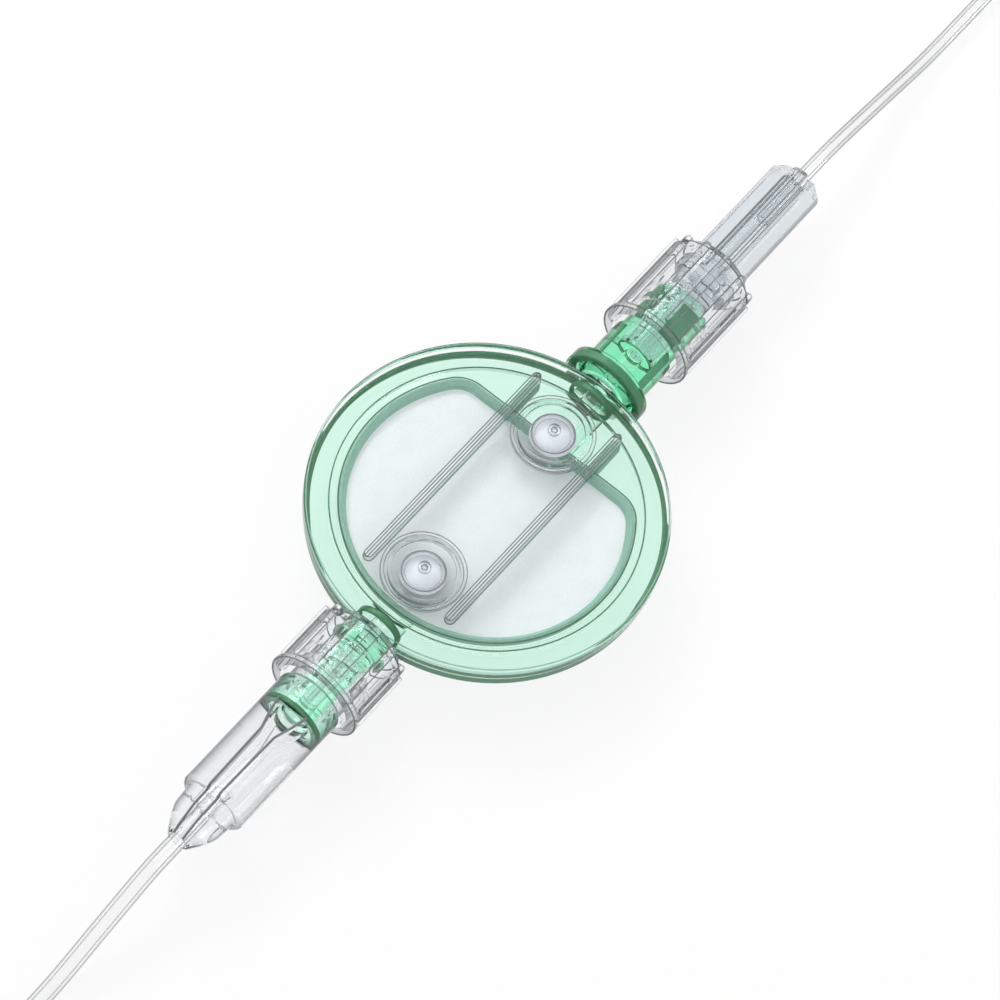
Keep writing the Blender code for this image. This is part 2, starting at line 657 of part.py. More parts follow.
def inlet_tube_connector(parent):
    tip = INLET_SOCKET_BOTTOM + LUER_TIP_GAP
    stop_start = STOP_BACK - STOP_THICKNESS
    cone_base = INLET_MOUTH + FIT
    connector = solid("inlet_tube_connector", turned([
        (tip, 0),
        (tip, luer_radius(INLET_MOUTH - tip) - FIT),
        (cone_base, luer_radius(0) - FIT),
        (stop_start, FIN_RADIUS),
        (stop_start, STOP_RADIUS),
        (STOP_BACK, STOP_RADIUS),
        (STOP_BACK, FIN_CORE_RADIUS),
        (INLET_EXIT, FIN_CORE_RADIUS),
        (INLET_EXIT, 0),
    ], HUB_STEPS), plastic("clear_plastic", CLEAR), parent)
    fins = solid("fins", along_axis(fin_section(SIDE_FIN_WIDTH, TOP_FIN_WIDTH),
                                    STOP_BACK - STOP_THICKNESS / 2, INLET_EXIT), None, parent)
    point = turned([
        (stop_start, 0),
        (stop_start, 2 * FIN_RADIUS),
        (INLET_EXIT - FIN_END_CHAMFER, 2 * FIN_RADIUS),
        (INLET_EXIT - FIN_END_CHAMFER, FIN_RADIUS + EMBED),
        (INLET_EXIT + EMBED, FIN_RADIUS - FIN_END_CHAMFER),
        (INLET_EXIT + EMBED, 0),
    ], HUB_STEPS)
    keep(fins, solid("fin_point", point, None, parent))
    add(connector, fins)
    bore = line_bore(tip - EMBED, INLET_EXIT - TUBE_SOCKET_DEPTH, INLET_EXIT + EMBED,
                     INLET_TUBE_DIAMETER / 2)
    cut(connector, solid("inlet_connector_bore", bore, None, parent))
    return connector


def line_bore(start, socket_bottom, end, tube_radius):
    """A bore that widens to the tube's socket."""
    return turned([
        (start, 0),
        (start, BORE_RADIUS),
        (socket_bottom, BORE_RADIUS),
        (socket_bottom, tube_radius + FIT),
        (end, tube_radius + FIT),
        (end, 0),
    ], BORE_STEPS)


def funnel_groove():
    """The groove along the grip, wide at the hub and narrow at the nose; its floor follows the bore."""
    socket_bottom = OUTLET_SOCKET_BOTTOM - FIT
    top = 2 * BODY_RADIUS
    rings = []
    for place, width, floor in (
        (socket_bottom, GROOVE_MOUTH_WIDTH, luer_radius(LUER_DEPTH) + GROOVE_WALL),
        (socket_bottom - FUNNEL_LENGTH, GROOVE_WAIST_WIDTH, BORE_RADIUS + GROOVE_WALL),
        (GRIP_END - EMBED, GROOVE_END_WIDTH, BORE_RADIUS + GROOVE_WALL),
    ):
        rings.append([(place, -width / 2, floor), (place, width / 2, floor),
                      (place, width / 2, top), (place, -width / 2, top)])
    return loft(rings)


def side_groove():
    """A shallow V between the lobes on each side of the grip."""
    section = [(0, BODY_RADIUS - SIDE_GROOVE_DEPTH), (GROOVE_WAIST_WIDTH / 2, 2 * BODY_RADIUS),
               (-GROOVE_WAIST_WIDTH / 2, 2 * BODY_RADIUS)]
    return along_axis(section, GRIP_END - EMBED, OUTLET_SOCKET_BOTTOM - FUNNEL_LENGTH)


def outlet_tube_connector(parent):
    nose = []
    nose_steps = 6
    end_radius = OUTLET_TUBE_DIAMETER / 2 + 2 * FIT
    for step in range(nose_steps + 1):
        angle = math.pi / 2 * step / nose_steps
        nose.append((OUTLET_EXIT + (NOSE_START - OUTLET_EXIT) * math.sin(angle),
                     NOSE_RADIUS - (NOSE_RADIUS - end_radius) * (1 - math.sin(angle)) ** 1.3))
    outside_mouth = OUTLET_COLLAR_MOUTH - FIT
    connector = solid("outlet_tube_connector", turned([(OUTLET_EXIT, 0)] + nose + [
        (GRIP_END, NOSE_RADIUS + FIT),
        (GRIP_END, BODY_RADIUS - EDGE_CHAMFER),
        (GRIP_END + EDGE_CHAMFER, BODY_RADIUS),
        (outside_mouth - EDGE_CHAMFER, BODY_RADIUS),
        (outside_mouth, HUB_RADIUS),
        (OUTLET_MOUTH, HUB_RADIUS),
        (OUTLET_MOUTH, 0),
    ], HUB_STEPS), plastic("clear_plastic", CLEAR), parent)
    add(connector, solid("outlet_lugs", lugs(OUTLET_MOUTH), None, parent))
    grooves = stack([funnel_groove(), rolled(funnel_groove(), math.pi),
                     rolled(side_groove(), math.pi / 2), rolled(side_groove(), -math.pi / 2)])
    cut(connector, solid("grip_grooves", grooves, None, parent))
    flutes = []
    for place in (-1, 1):
        for turn in (0, math.pi):
            flute = rod(OUTLET_EXIT - EMBED, GRIP_END, NOSE_FLUTE_RADIUS, BORE_STEPS)
            bmesh.ops.translate(flute, verts=flute.verts,
                                vec=(0, place * (NOSE_RIDGE_WIDTH / 2 + NOSE_FLUTE_RADIUS), NOSE_RADIUS))
            flutes.append(rolled(flute, turn))
    cut(connector, solid("nose_flutes", stack(flutes), None, parent))
    socket = turned([
        (OUTLET_EXIT - EMBED, 0),
        (OUTLET_EXIT - EMBED, OUTLET_TUBE_DIAMETER / 2 + FIT),
        (OUTLET_EXIT + TUBE_SOCKET_DEPTH, OUTLET_TUBE_DIAMETER / 2 + FIT),
        (OUTLET_EXIT + TUBE_SOCKET_DEPTH, BORE_RADIUS),
        (OUTLET_SOCKET_BOTTOM - FUNNEL_LENGTH, BORE_RADIUS),
        (OUTLET_SOCKET_BOTTOM, luer_radius(LUER_DEPTH)),
        (OUTLET_MOUTH + EMBED, luer_radius(-EMBED)),
        (OUTLET_MOUTH + EMBED, 0),
    ], BORE_STEPS)
    cut(connector, solid("outlet_connector_bore", socket, None, parent))
    return connector


def smooth_route(points, spacing):
    """Points along a smooth curve through the route's own points."""
    route = [Vector(point) for point in points]
    padded = [2 * route[0] - route[1]] + route + [2 * route[-1] - route[-2]]
    curve = []
    for index in range(1, len(padded) - 2):
        before, start, end, after = padded[index - 1:index + 3]
        pieces = max(1, round((end - start).length / spacing))
        for piece in range(pieces):
            t = piece / pieces
            curve.append(0.5 * (2 * start + (end - before) * t
                                + (2 * before - 5 * start + 4 * end - after) * t ** 2
                                + (3 * start - before - 3 * end + after) * t ** 3))
    curve.append(route[-1])
    return curve


def tube(name, points, diameter, side, parent):
    """A plain flexible tube; side -1 turns the route round to the outlet."""
    route = smooth_route(points, 2.5 * diameter)
    curve = bpy.data.curves.new(name, "CURVE")
    curve.dimensions = "3D"
    curve.bevel_depth = diameter / 2
    curve.bevel_resolution = 2
    curve.use_fill_caps = True
    spline = curve.splines.new("POLY")
    spline.points.add(len(route) - 1)
    for point, place in zip(spline.points, route):
        point.co = (side * place.x, side * place.y, place.z, 1)
    curve.materials.append(plastic("tube", TUBE))
    thing = bpy.data.objects.new(name, curve)
    bpy.context.scene.collection.objects.link(thing)
    thing.parent = parent
    return thing


def tube_line(label, side, exit_x, lead, diameter, fitting, parent):
    """The tube from its socket to the floor, the flat two-turn coil, its tail and end fitting."""
    radius = diameter / 2
    floor = -AXIS_HEIGHT + radius
    coil_x = exit_x + lead
    outer_turn = COIL_INNER_TURN + diameter + COIL_TURN_GAP
    ring_outer = outer_turn + radius + COIL_TURN_GAP / 2
    ring_inner = COIL_INNER_TURN - radius - COIL_TURN_GAP / 2
    reach = math.sqrt(ring_outer ** 2 - (outer_turn - radius) ** 2)
    drop = AXIS_HEIGHT - radius
    stretch = lead - reach - CORD_GAP
    route = [(exit_x - TUBE_SOCKET_DEPTH + CORD_GAP, 0, 0), (exit_x, 0, 0)]
    route += [(exit_x + along * stretch, 0, -down * drop) for along, down in SAG_ROUTE]
    route.append((exit_x + stretch, 0, floor))
    tube(label + "_tube", route, diameter, side, parent)
    coil = turned([
        (-AXIS_HEIGHT, ring_inner),
        (-AXIS_HEIGHT, ring_outer),
        (-AXIS_HEIGHT + diameter, ring_outer),
        (-AXIS_HEIGHT + diameter, ring_inner),
    ], GROOVE_STEPS, Z_AXIS)
    centre = Vector((side * coil_x, side * outer_turn, 0))
    solid(label + "_coil", coil, plastic("tube", TUBE), parent, centre)
    tail_radius = ring_inner - CORD_GAP - radius
    outward = Vector((math.cos(TAIL_START_ANGLE), math.sin(TAIL_START_ANGLE), 0))
    bend = outward * (tail_radius - TAIL_BEND_RADIUS)
    height = -AXIS_HEIGHT + (LUG_RADIUS if fitting is female_end_fitting else FITTING_SKIRT_RADIUS)
    steps = 6
    tail = []
    for step in range(steps + 1):
        share = step / steps
        angle = TAIL_START_ANGLE + (1.5 * math.pi - TAIL_START_ANGLE) * share
        ease = share * share * (3 - 2 * share)
        point = bend + TAIL_BEND_RADIUS * Vector((math.cos(angle), math.sin(angle), 0))
        point.z = floor + (height - floor) * ease
        tail.append(point + Vector((coil_x, outer_turn, 0)))
    tail.append(tail[-1] + Vector((FITTING_SOCKET_DEPTH - CORD_GAP, 0, 0)))
    tube(label + "_tube_end", tail, diameter, side, parent)
    back = tail[-2]
    ending = fitting(label + "_end_fitting", diameter, parent)
    ending.location = (side * back.x, side * back.y, back.z)
    ending.rotation_euler = (0, 0, 0 if side > 0 else math.pi)


def female_end_fitting(name, diameter, parent):
    """A female luer hub with lugs, its tube socket at local x 0 and its mouth at +X."""
    bottom = FITTING_SOCKET_DEPTH + FIT
    mouth = bottom + 2 * FIT + LUER_DEPTH
    fitting = solid(name, turned([
        (0, 0),
        (0, FITTING_NECK_RADIUS),
        (bottom, FITTING_BODY_RADIUS),
        (mouth - FITTING_SOCKET_DEPTH, FITTING_BODY_RADIUS),
        (mouth - FITTING_SOCKET_DEPTH, HUB_RADIUS),
        (mouth, HUB_RADIUS),
        (mouth, 0),
    ], HUB_STEPS), plastic("clear_plastic", CLEAR), parent)
    add(fitting, solid(name + ".lugs", lugs(mouth), None, fitting))
    bore = turned([
        (-EMBED, 0),
        (-EMBED, diameter / 2 + FIT),
        (bottom - FIT, diameter / 2 + FIT),
        (bottom - FIT, BORE_RADIUS),
        (mouth - LUER_DEPTH, BORE_RADIUS),
        (mouth - LUER_DEPTH, luer_radius(LUER_DEPTH)),
        (mouth + EMBED, luer_radius(-EMBED)),
        (mouth + EMBED, 0),
    ], BORE_STEPS)
    cut(fitting, solid(name + ".bore", bore, None, fitting))
    return fitting


def male_end_fitting(name, diameter, parent):
    """A one-piece male luer lock, its tube socket at local x 0 and its cone at +X."""
    wall = FITTING_SOCKET_DEPTH + COLLAR_BACK_WALL
    mouth = wall + FITTING_SKIRT_LENGTH
    tip = mouth + 2 * FIT
    fitting = solid(name, turned([
        (0, 0),
        (0, FITTING_NECK_RADIUS),
        (FITTING_SOCKET_DEPTH, FITTING_BODY_RADIUS),
        (FITTING_SOCKET_DEPTH, FITTING_SKIRT_RADIUS),
        (mouth, FITTING_SKIRT_RADIUS),
        (mouth, THREAD_ROOT_RADIUS),
        (wall, THREAD_ROOT_RADIUS),
        (wall, luer_radius(0) - FIT + LUER_SLOPE * (tip - wall - LUER_DEPTH + LUER_TIP_GAP)),
        (tip, luer_radius(LUER_DEPTH - LUER_TIP_GAP) - FIT),
        (tip, 0),
    ], HUB_STEPS), plastic("clear_plastic", CLEAR), parent)
    ridge = thread(wall, wall + THREAD_LEAD_IN, mouth - FIT)
    add(fitting, solid(name + ".thread", ridge, None, fitting))
    bore = turned([
        (-EMBED, 0),
        (-EMBED, diameter / 2 + FIT),
        (FITTING_SOCKET_DEPTH, diameter / 2 + FIT),
        (FITTING_SOCKET_DEPTH, BORE_RADIUS),
        (tip + EMBED, BORE_RADIUS),
        (tip + EMBED, 0),
    ], BORE_STEPS)
    cut(fitting, solid(name + ".bore", bore, None, fitting))
    return fitting


def main():
    clear_scene()
    axis = bpy.data.objects.new("flow_axis", None)
    bpy.context.scene.collection.objects.link(axis)
    axis.location = (DISC_X, 0, AXIS_HEIGHT)
    housing_base(axis)
    housing_cover(axis)
    filter_membrane(axis)
    vent_pieces("inlet", 1, axis)
    vent_pieces("outlet", -1, axis)
    clear_plastic = plastic("clear_plastic", CLEAR)
    lock_collar("inlet_lock_collar", INLET_COLLAR_MOUTH, INLET_COLLAR_LENGTH, INLET_MOUTH,
                FIN_RADIUS + FIT, clear_plastic, axis)
    lock_collar("outlet_lock_collar", OUTLET_COLLAR_MOUTH, OUTLET_COLLAR_LENGTH, OUTLET_MOUTH,
                BOSS_RADIUS + FIT, clear_plastic, axis)
    inlet_tube_connector(axis)
    outlet_tube_connector(axis)
    tube_line("inlet", 1, INLET_EXIT, INLET_LEAD, INLET_TUBE_DIAMETER, female_end_fitting, axis)
    tube_line("outlet", -1, -OUTLET_EXIT, OUTLET_LEAD, OUTLET_TUBE_DIAMETER, male_end_fitting, axis)
    settle_booleans()


main()
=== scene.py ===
import math

import bmesh
import bpy
from mathutils import Matrix, Vector


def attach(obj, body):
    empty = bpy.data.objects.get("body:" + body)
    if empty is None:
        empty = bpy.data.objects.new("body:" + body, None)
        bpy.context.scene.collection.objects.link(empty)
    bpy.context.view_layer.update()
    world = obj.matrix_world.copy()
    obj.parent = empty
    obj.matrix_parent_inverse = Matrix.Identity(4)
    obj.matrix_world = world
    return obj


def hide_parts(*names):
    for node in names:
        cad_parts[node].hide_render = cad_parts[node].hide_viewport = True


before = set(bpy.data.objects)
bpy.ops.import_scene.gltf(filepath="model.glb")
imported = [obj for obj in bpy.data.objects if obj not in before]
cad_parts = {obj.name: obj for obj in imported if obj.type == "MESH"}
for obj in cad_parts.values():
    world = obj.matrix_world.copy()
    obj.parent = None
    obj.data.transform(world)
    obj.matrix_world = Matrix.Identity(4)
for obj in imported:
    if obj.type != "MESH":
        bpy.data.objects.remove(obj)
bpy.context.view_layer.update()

# All sizes are along the flow axis from the middle of the disc, as in the CAD
MM = 0.001
TURN = 2 * math.pi
DISC_X = -2.35 * MM
AXIS_HEIGHT = 5.3 * MM
DISC_RADIUS = 18.5 * MM
BASE_RIM = 18.3 * MM
CHAMBER_RADIUS = 16.0 * MM
SEAM = 0.1 * MM
COVER_UNDERSIDE = 0.25 * MM
COVER_TOP = 2.1 * MM
CHAMBER_TOP = 1.2 * MM
BASE_BOTTOM = -1.6 * MM
BED = -0.2 * MM
FIT = 0.15 * MM
WINDOW_RADIUS = 14.9 * MM
WINDOW_CHORD = 10.3 * MM
WINDOW_CORNER = 3.5 * MM
WELD_WIDTH = 0.8 * MM
RIB_OFFSET = 5.2 * MM
RIB_WIDTH = 1.1 * MM
RIB_HEIGHT = 0.9 * MM
RIB_ENDS = (-13.2 * MM, 14.6 * MM)
VENT_OFFSET = 10.4 * MM
VENT_RING = 4.4 * MM
VENT_RING_WIDTH = 0.45 * MM
LUER_MOUTH = 2.15 * MM
LUER_DEPTH = 7.9 * MM
HUB_RADIUS = 3.25 * MM
LUG_RADIUS = 3.85 * MM
THREAD_LEAD = 5.0 * MM
THREAD_ROOT = 4.05 * MM
THREAD_CREST = 3.5 * MM
COLLAR_RADIUS = 5.3 * MM
COLLAR_BODY = 4.95 * MM
BOSS_RADIUS = 2.65 * MM
CHANNEL_RADIUS = 0.9 * MM
FLANGE_RADIUS = 4.75 * MM
FLANGE_START = 18.8 * MM
FLANGE_END = 20.3 * MM
INLET_MOUTH = 32.1 * MM
INLET_COLLAR_MOUTH = 26.0 * MM
INLET_COLLAR_BACK = 38.0 * MM
STOP_BACK = 36.65 * MM
STOP_RADIUS = 3.45 * MM
INLET_EXIT = 52.6 * MM
OUTLET_COLLAR_BACK = -18.8 * MM
OUTLET_COLLAR_MOUTH = -27.3 * MM
BEAD_START = -20.15 * MM
OUTLET_MOUTH = -22.85 * MM
OUTLET_TIP = -30.25 * MM
GRIP_END = -42.9 * MM
NOSE_START = -44.9 * MM
OUTLET_EXIT = -47.9 * MM
BODY_RADIUS = 3.65 * MM
FUNNEL_LENGTH = 3.8 * MM
NOSE_RADIUS = 2.75 * MM
FIN_RADIUS = 3.05 * MM
FIN_END_CHAMFER = 1.2 * MM
BORE = 0.7 * MM
HUB_FOOT_RADIUS = 3.6 * MM
LUG_MIDDLE = 1.05 * MM
LUG_REACH = math.radians(35)
LUG_WIDTHS = (0.9 * MM, 0.72 * MM)
THREAD_WIDTHS = (0.4 * MM, 0.95 * MM)
BACK_WALL = 1.2 * MM
GRIP_RIBS = 12
GRIP_WIDTH = 0.9 * MM
GROOVES = 5
GROOVE_DEPTH = 0.45 * MM
GROOVE_WALL = 1.2 * MM
VENT_RING_TOP = COVER_TOP + 0.4 * MM
STEM_RADIUS = 1.55 * MM
FIN_WIDTHS = (2.3 * MM, 1.5 * MM)
NOSE_END_RADIUS = 1.25 * MM

# How far a cutter or an added form runs on past the surface that it meets, and a height above it all
OVERLAP = 0.2 * MM
TALL = 10 * MM

# Tube lines
INLET_TUBE = 1.55 * MM
OUTLET_TUBE = 1.9 * MM
TUBE_WALL = 0.36 * MM
INLET_LEAD = 46.0 * MM
OUTLET_LEAD = 37.15 * MM
SOCKET_DEPTH = 7.0 * MM
SAG_ROUTE = ((0.15, 0.05), (0.37, 0.45), (0.59, 0.88), (0.78, 0.98))
COIL_INNER_TURN = 10.8 * MM
COIL_TURN_GAP = 0.25 * MM
CORD_GAP = 0.3 * MM
TAIL_BEND = 3.8 * MM
TAIL_START = math.radians(135)
FITTING_SOCKET = 3.4 * MM
FITTING_NECK = 1.9 * MM
FITTING_RADIUS = 3.4 * MM
SKIRT_RADIUS = 4.55 * MM
TIE_THICKNESS = 0.12 * MM
TIE_WIDTH = 3.0 * MM
TIE_ANGLE = math.radians(30)

# How far painted shade darkens a clear form's outline, as shares of the turn away from the eye
OUTLINE_SHADE_START = 0.27
OUTLINE_SHADE_SPAN = 0.42
INSIDE_BLEND = 0.08 * MM


class Wire:
    """A shader socket on which sums and products are written as plain maths."""

    def __init__(self, tree, socket):
        self.tree = tree
        self.socket = socket

    def maths(self, operation, first, second=0.0):
        node = self.tree.nodes.new("ShaderNodeMath")
        node.operation = operation
        for slot, value in zip(node.inputs, (first, second)):
            if isinstance(value, Wire):
                self.tree.links.new(value.socket, slot)
            else:
                slot.default_value = value
        return Wire(self.tree, node.outputs[0])

    def __add__(self, other):
        return self.maths("ADD", self, other)

    def __radd__(self, other):
        return self.maths("ADD", other, self)

    def __sub__(self, other):
        return self.maths("SUBTRACT", self, other)

    def __rsub__(self, other):
        return self.maths("SUBTRACT", other, self)

    def __mul__(self, other):
        return self.maths("MULTIPLY", self, other)

    def __rmul__(self, other):
        return self.maths("MULTIPLY", other, self)

    def __truediv__(self, other):
        return self.maths("DIVIDE", self, other)

    def __pow__(self, other):
        return self.maths("POWER", self, other)

    def clipped(self):
        return self.maths("MINIMUM", self.maths("MAXIMUM", self, 0.0), 1.0)


class Finish:
    """A material, its node tree and its main shader."""

    def __init__(self, name, owner=None):
        self.material = owner or bpy.data.materials.new(name)
        self.material.use_nodes = True
        self.tree = self.material.node_tree
        self.shader = self.tree.nodes.get("Principled BSDF")

    def node(self, kind, settings=None, inputs=None):
        """A node of a type, its settings first and then its sockets' values or links."""
        node = self.tree.nodes.new(kind)
        for name, value in (settings or {}).items():
            if name == "stops":
                ramp = node.color_ramp.elements
                while len(ramp) < len(value):
                    ramp.new(0.5)
                for stop, (place, colour) in zip(ramp, value):
                    stop.position = place
                    stop.color = (*colour, 1)
            else:
                setattr(node, name, value)
        for name, value in (inputs or {}).items():
            self.feed(node.inputs[name], value)
        return node

    def wire(self, node, output=0):
        return Wire(self.tree, node.outputs[output])

    def feed(self, socket, value):
        if isinstance(value, Wire):
            self.tree.links.new(value.socket, socket)
        elif isinstance(value, bpy.types.NodeSocket):
            self.tree.links.new(value, socket)
        else:
            socket.default_value = value

    def set(self, **values):
        for name, value in values.items():
            self.feed(self.shader.inputs[name.replace("_", " ")], value)

    def place(self):
        return self.node("ShaderNodeTexCoord").outputs["Object"]

    def noise(self, scale, detail=3.0, roughness=0.5):
        """Noise with about that many grains to a metre."""
        node = self.node("ShaderNodeTexNoise", inputs={"Vector": self.place(), "Scale": scale,
                                                       "Detail": detail, "Roughness": roughness})
        return self.wire(node)

    def bump(self, height, distance):
        node = self.node("ShaderNodeBump", inputs={"Height": height, "Distance": distance})
        self.set(Normal=self.wire(node))

    def blend(self, share, low, high):
        """A colour between two, by a share."""
        return self.node("ShaderNodeMix", {"data_type": "RGBA"},
                         {"Factor": share, 6: (*low, 1), 7: (*high, 1)}).outputs[2]

    def surface(self, socket):
        self.tree.links.new(socket, self.tree.nodes["Material Output"].inputs["Surface"])


def moulded_clear(name, tint, edge, ior, haze, absorbed, density, inside=0.0, ripple=0.002 * MM):
    """Clear moulded plastic: its colour deepens with thickness, and painted shade darkens it towards a curved
    form's outline, though not on walls that lie nearer to the flow axis than the radius called inside."""
    finish = Finish(name)
    # Painted shade: the share of the outline colour grows as the surface turns away from the eye
    facing = finish.wire(finish.node("ShaderNodeLayerWeight", inputs={"Blend": 0.5}), 1)
    share = ((facing - OUTLINE_SHADE_START) / OUTLINE_SHADE_SPAN).clipped() ** 1.3
    if inside:
        place = finish.node("ShaderNodeSeparateXYZ", inputs={"Vector": finish.place()})
        across = finish.wire(place, 1)
        height = finish.wire(place, 2) - AXIS_HEIGHT
        share = share * (((across * across + height * height) ** 0.5 - inside) / INSIDE_BLEND).clipped()
    finish.set(Base_Color=finish.blend(share, tint, edge), IOR=ior, Transmission_Weight=1.0,
               Coat_Weight=0.6, Coat_Roughness=0.09)
    mottle = finish.noise(900, 2)
    finish.set(Roughness=haze + 0.06 * (finish.noise(2600, 2) - 0.45).clipped() + 0.03 * mottle)
    finish.bump(finish.noise(420, 3) + 0.15 * finish.noise(5200, 1), ripple)
    depth = finish.node("ShaderNodeVolumeAbsorption", inputs={"Color": (*absorbed, 1), "Density": density})
    finish.tree.links.new(depth.outputs[0], finish.tree.nodes["Material Output"].inputs["Volume"])
    return finish.material


def weld_and_painted_shade(name, low, high):
    """Welded or thick plastic that scatters light inside and hardly lets it through; also the opaque stuff of
    the painted shade lines, rings and bands.
    """
    finish = Finish(name)
    grain = finish.noise(2200, 3)
    finish.set(Base_Color=finish.blend(grain, low, high), Roughness=0.35 + 0.2 * grain, IOR=1.5)
    finish.bump(grain, 0.02 * MM)
    return finish.material


def fibre_membrane(name, low, high, grain_size, relief):
    """Microporous filter sheet: a matte felt of fine grains."""
    finish = Finish(name)
    fine = finish.noise(1 / grain_size, 3, 0.65)
    broad = finish.noise(0.12 / grain_size, 3)
    finish.set(Base_Color=finish.blend((2.6 * fine - 0.85 + 0.6 * (broad - 0.5)).clipped(), low, high),
               Roughness=0.85 + 0.1 * fine, Sheen_Weight=0.1, IOR=1.4)
    finish.bump(fine, relief)
    return finish.material


def band_film(name):
    """Thin milky film of the ties."""
    finish = Finish(name)
    crease = finish.noise(700, 3)
    finish.set(Base_Color=finish.blend(crease, (0.80, 0.82, 0.84), (0.90, 0.91, 0.92)),
               Roughness=0.3 + 0.2 * crease, IOR=1.45)
    finish.bump(crease, 0.03 * MM)
    return finish.material


# Colours of the painted shade at clear forms' outlines; in each clear finish below, the colour after the tint
# is its painted outline shade
PAINTED_GREY_OUTLINE = (0.08, 0.09, 0.10)
PAINTED_GREEN_OUTLINE = (0.02, 0.18, 0.07)
PAINTED_COVER_OUTLINE = (0.16, 0.30, 0.23)
GREY_DEPTH = (0.80, 0.83, 0.85)
CONNECTOR_INSIDE = 2.2 * MM
clear = moulded_clear("clear_connector", (0.96, 0.965, 0.97), PAINTED_GREY_OUTLINE, 1.12, 0.015,
                      GREY_DEPTH, 90, CONNECTOR_INSIDE)
grey_clear = moulded_clear("grey_clear_connector", (0.93, 0.94, 0.95), PAINTED_GREY_OUTLINE, 1.12, 0.015,
                           GREY_DEPTH, 440, CONNECTOR_INSIDE)
collar_clear = moulded_clear("clear_collar", (0.97, 0.975, 0.98), (0.14, 0.15, 0.16), 1.08, 0.05,
                             GREY_DEPTH, 80, THREAD_ROOT + 0.05 * MM)
cap_clear = moulded_clear("clear_vent_cap", (0.98, 0.985, 0.995), (0.24, 0.25, 0.27), 1.15, 0.02,
                          (0.80, 0.84, 0.88), 80)
cover_clear = moulded_clear("clear_cover", (0.99, 0.99, 0.99), PAINTED_COVER_OUTLINE, 1.12, 0.012,
                            (0.86, 0.92, 0.92), 30)
green = moulded_clear("mint_green_plastic", (0.98, 1, 0.99), PAINTED_GREEN_OUTLINE, 1.15, 0.015,
                      (0.22, 0.94, 0.64), 250, 2.35 * MM)
soft_clear = moulded_clear("soft_clear_tube", (0.97, 0.97, 0.97), PAINTED_GREY_OUTLINE, 1.12, 0.03,
                           (0.85, 0.87, 0.88), 150, ripple=0.004 * MM)
# The green of the welds also draws the painted shade line along the cover's edge; the deep green also draws
# painted shade rings and the flange's shaded core; the shaded green draws painted shade bands; the two greys
# draw painted shade lines
weld_and_shade_green = weld_and_painted_shade("green_weld_and_shade", (0.25, 0.50, 0.39), (0.37, 0.66, 0.54))
deep_green = weld_and_painted_shade("deep_green", (0.022, 0.17, 0.060), (0.045, 0.25, 0.11))
shade_green = weld_and_painted_shade("shaded_green", (0.06, 0.29, 0.15), (0.11, 0.41, 0.24))
painted_shade_grey = weld_and_painted_shade("grey_edge", (0.15, 0.16, 0.165), (0.24, 0.255, 0.26))
painted_pale_shade = weld_and_painted_shade("pale_grey_edge", (0.22, 0.235, 0.24), (0.33, 0.345, 0.35))
filter_white = fibre_membrane("white_filter_sheet", (0.84, 0.91, 0.935), (0.99, 1.0, 1.0),
                              0.2 * MM, 0.02 * MM)
vent_white = fibre_membrane("vent_felt", (0.72, 0.77, 0.81), (0.88, 0.915, 0.935),
                            0.15 * MM, 0.015 * MM)
tie_white = band_film("tie_film")


def rounded(outline, radius, closed=True, steps=4):
    """The outline with its corners rounded."""
    count = len(outline)
    points = []
    for index, corner in enumerate(outline):
        if not closed and index in (0, count - 1):
            points.append(tuple(corner))
            continue
        corner = Vector(corner)
        before = Vector(outline[index - 1]) - corner
        after = Vector(outline[(index + 1) % count]) - corner
        if before.angle(after) > math.radians(160):
            points.append(tuple(corner))
            continue
        reach = min(radius, 0.45 * before.length, 0.45 * after.length)
        start = corner + before.normalized() * reach
        end = corner + after.normalized() * reach
        for step in range(steps + 1):
            t = step / steps
            points.append(tuple((1 - t) ** 2 * start + 2 * t * (1 - t) * corner + t ** 2 * end))
    return points


def bridge(shape, one, other):
    """Faces between two closed loops of vertices, either of which may be one point on the axis."""
    count = max(len(one), len(other))
    for k in range(count if count > 1 else 0):
        after = (k + 1) % count
        if len(one) == 1:
            shape.faces.new((one[0], other[k], other[after]))
        elif len(other) == 1:
            shape.faces.new((one[k], one[after], other[0]))
        else:
            shape.faces.new((one[k], one[after], other[after], other[k]))


def turned(outline, steps=96, axis="X", fillet=0.0):
    """A body turned about X or Z from (along, radius) points; a ring where it stays off the axis."""
    on_axis = 1e-9
    ring_like = outline[0][1] > on_axis
    if fillet:
        outline = rounded(outline, fillet, closed=ring_like)
    shape = bmesh.new()
    rings = []
    for along, radius in outline:
        ring = []
        for k in range(steps if radius > on_axis else 1):
            angle = TURN * k / steps
            across, up = radius * math.sin(angle), radius * math.cos(angle)
            ring.append(shape.verts.new((along, -across, up) if axis == "X" else (up, across, along)))
        rings.append(ring)
    for one, other in zip(rings, rings[1:]):
        bridge(shape, one, other)
    if ring_like:
        bridge(shape, rings[-1], rings[0])
    return shape


def rod(start, end, radius, steps=64, axis="X"):
    return turned([(start, 0), (start, radius), (end, radius), (end, 0)], steps, axis)


def loft(rings):
    """A closed skin over rings of points, each with as many points as the next."""
    shape = bmesh.new()
    loops = [[shape.verts.new(point) for point in ring] for ring in rings]
    for one, other in zip(loops, loops[1:]):
        bridge(shape, one, other)
    shape.faces.new(loops[0])
    shape.faces.new(loops[-1])
    return shape


def closed_band(rings):
    """A band over rings of points, the last ring joined to the first."""
    shape = bmesh.new()
    loops = [[shape.verts.new(point) for point in ring] for ring in rings]
    for one, other in zip(loops, loops[1:] + loops[:1]):
        bridge(shape, one, other)
    return shape


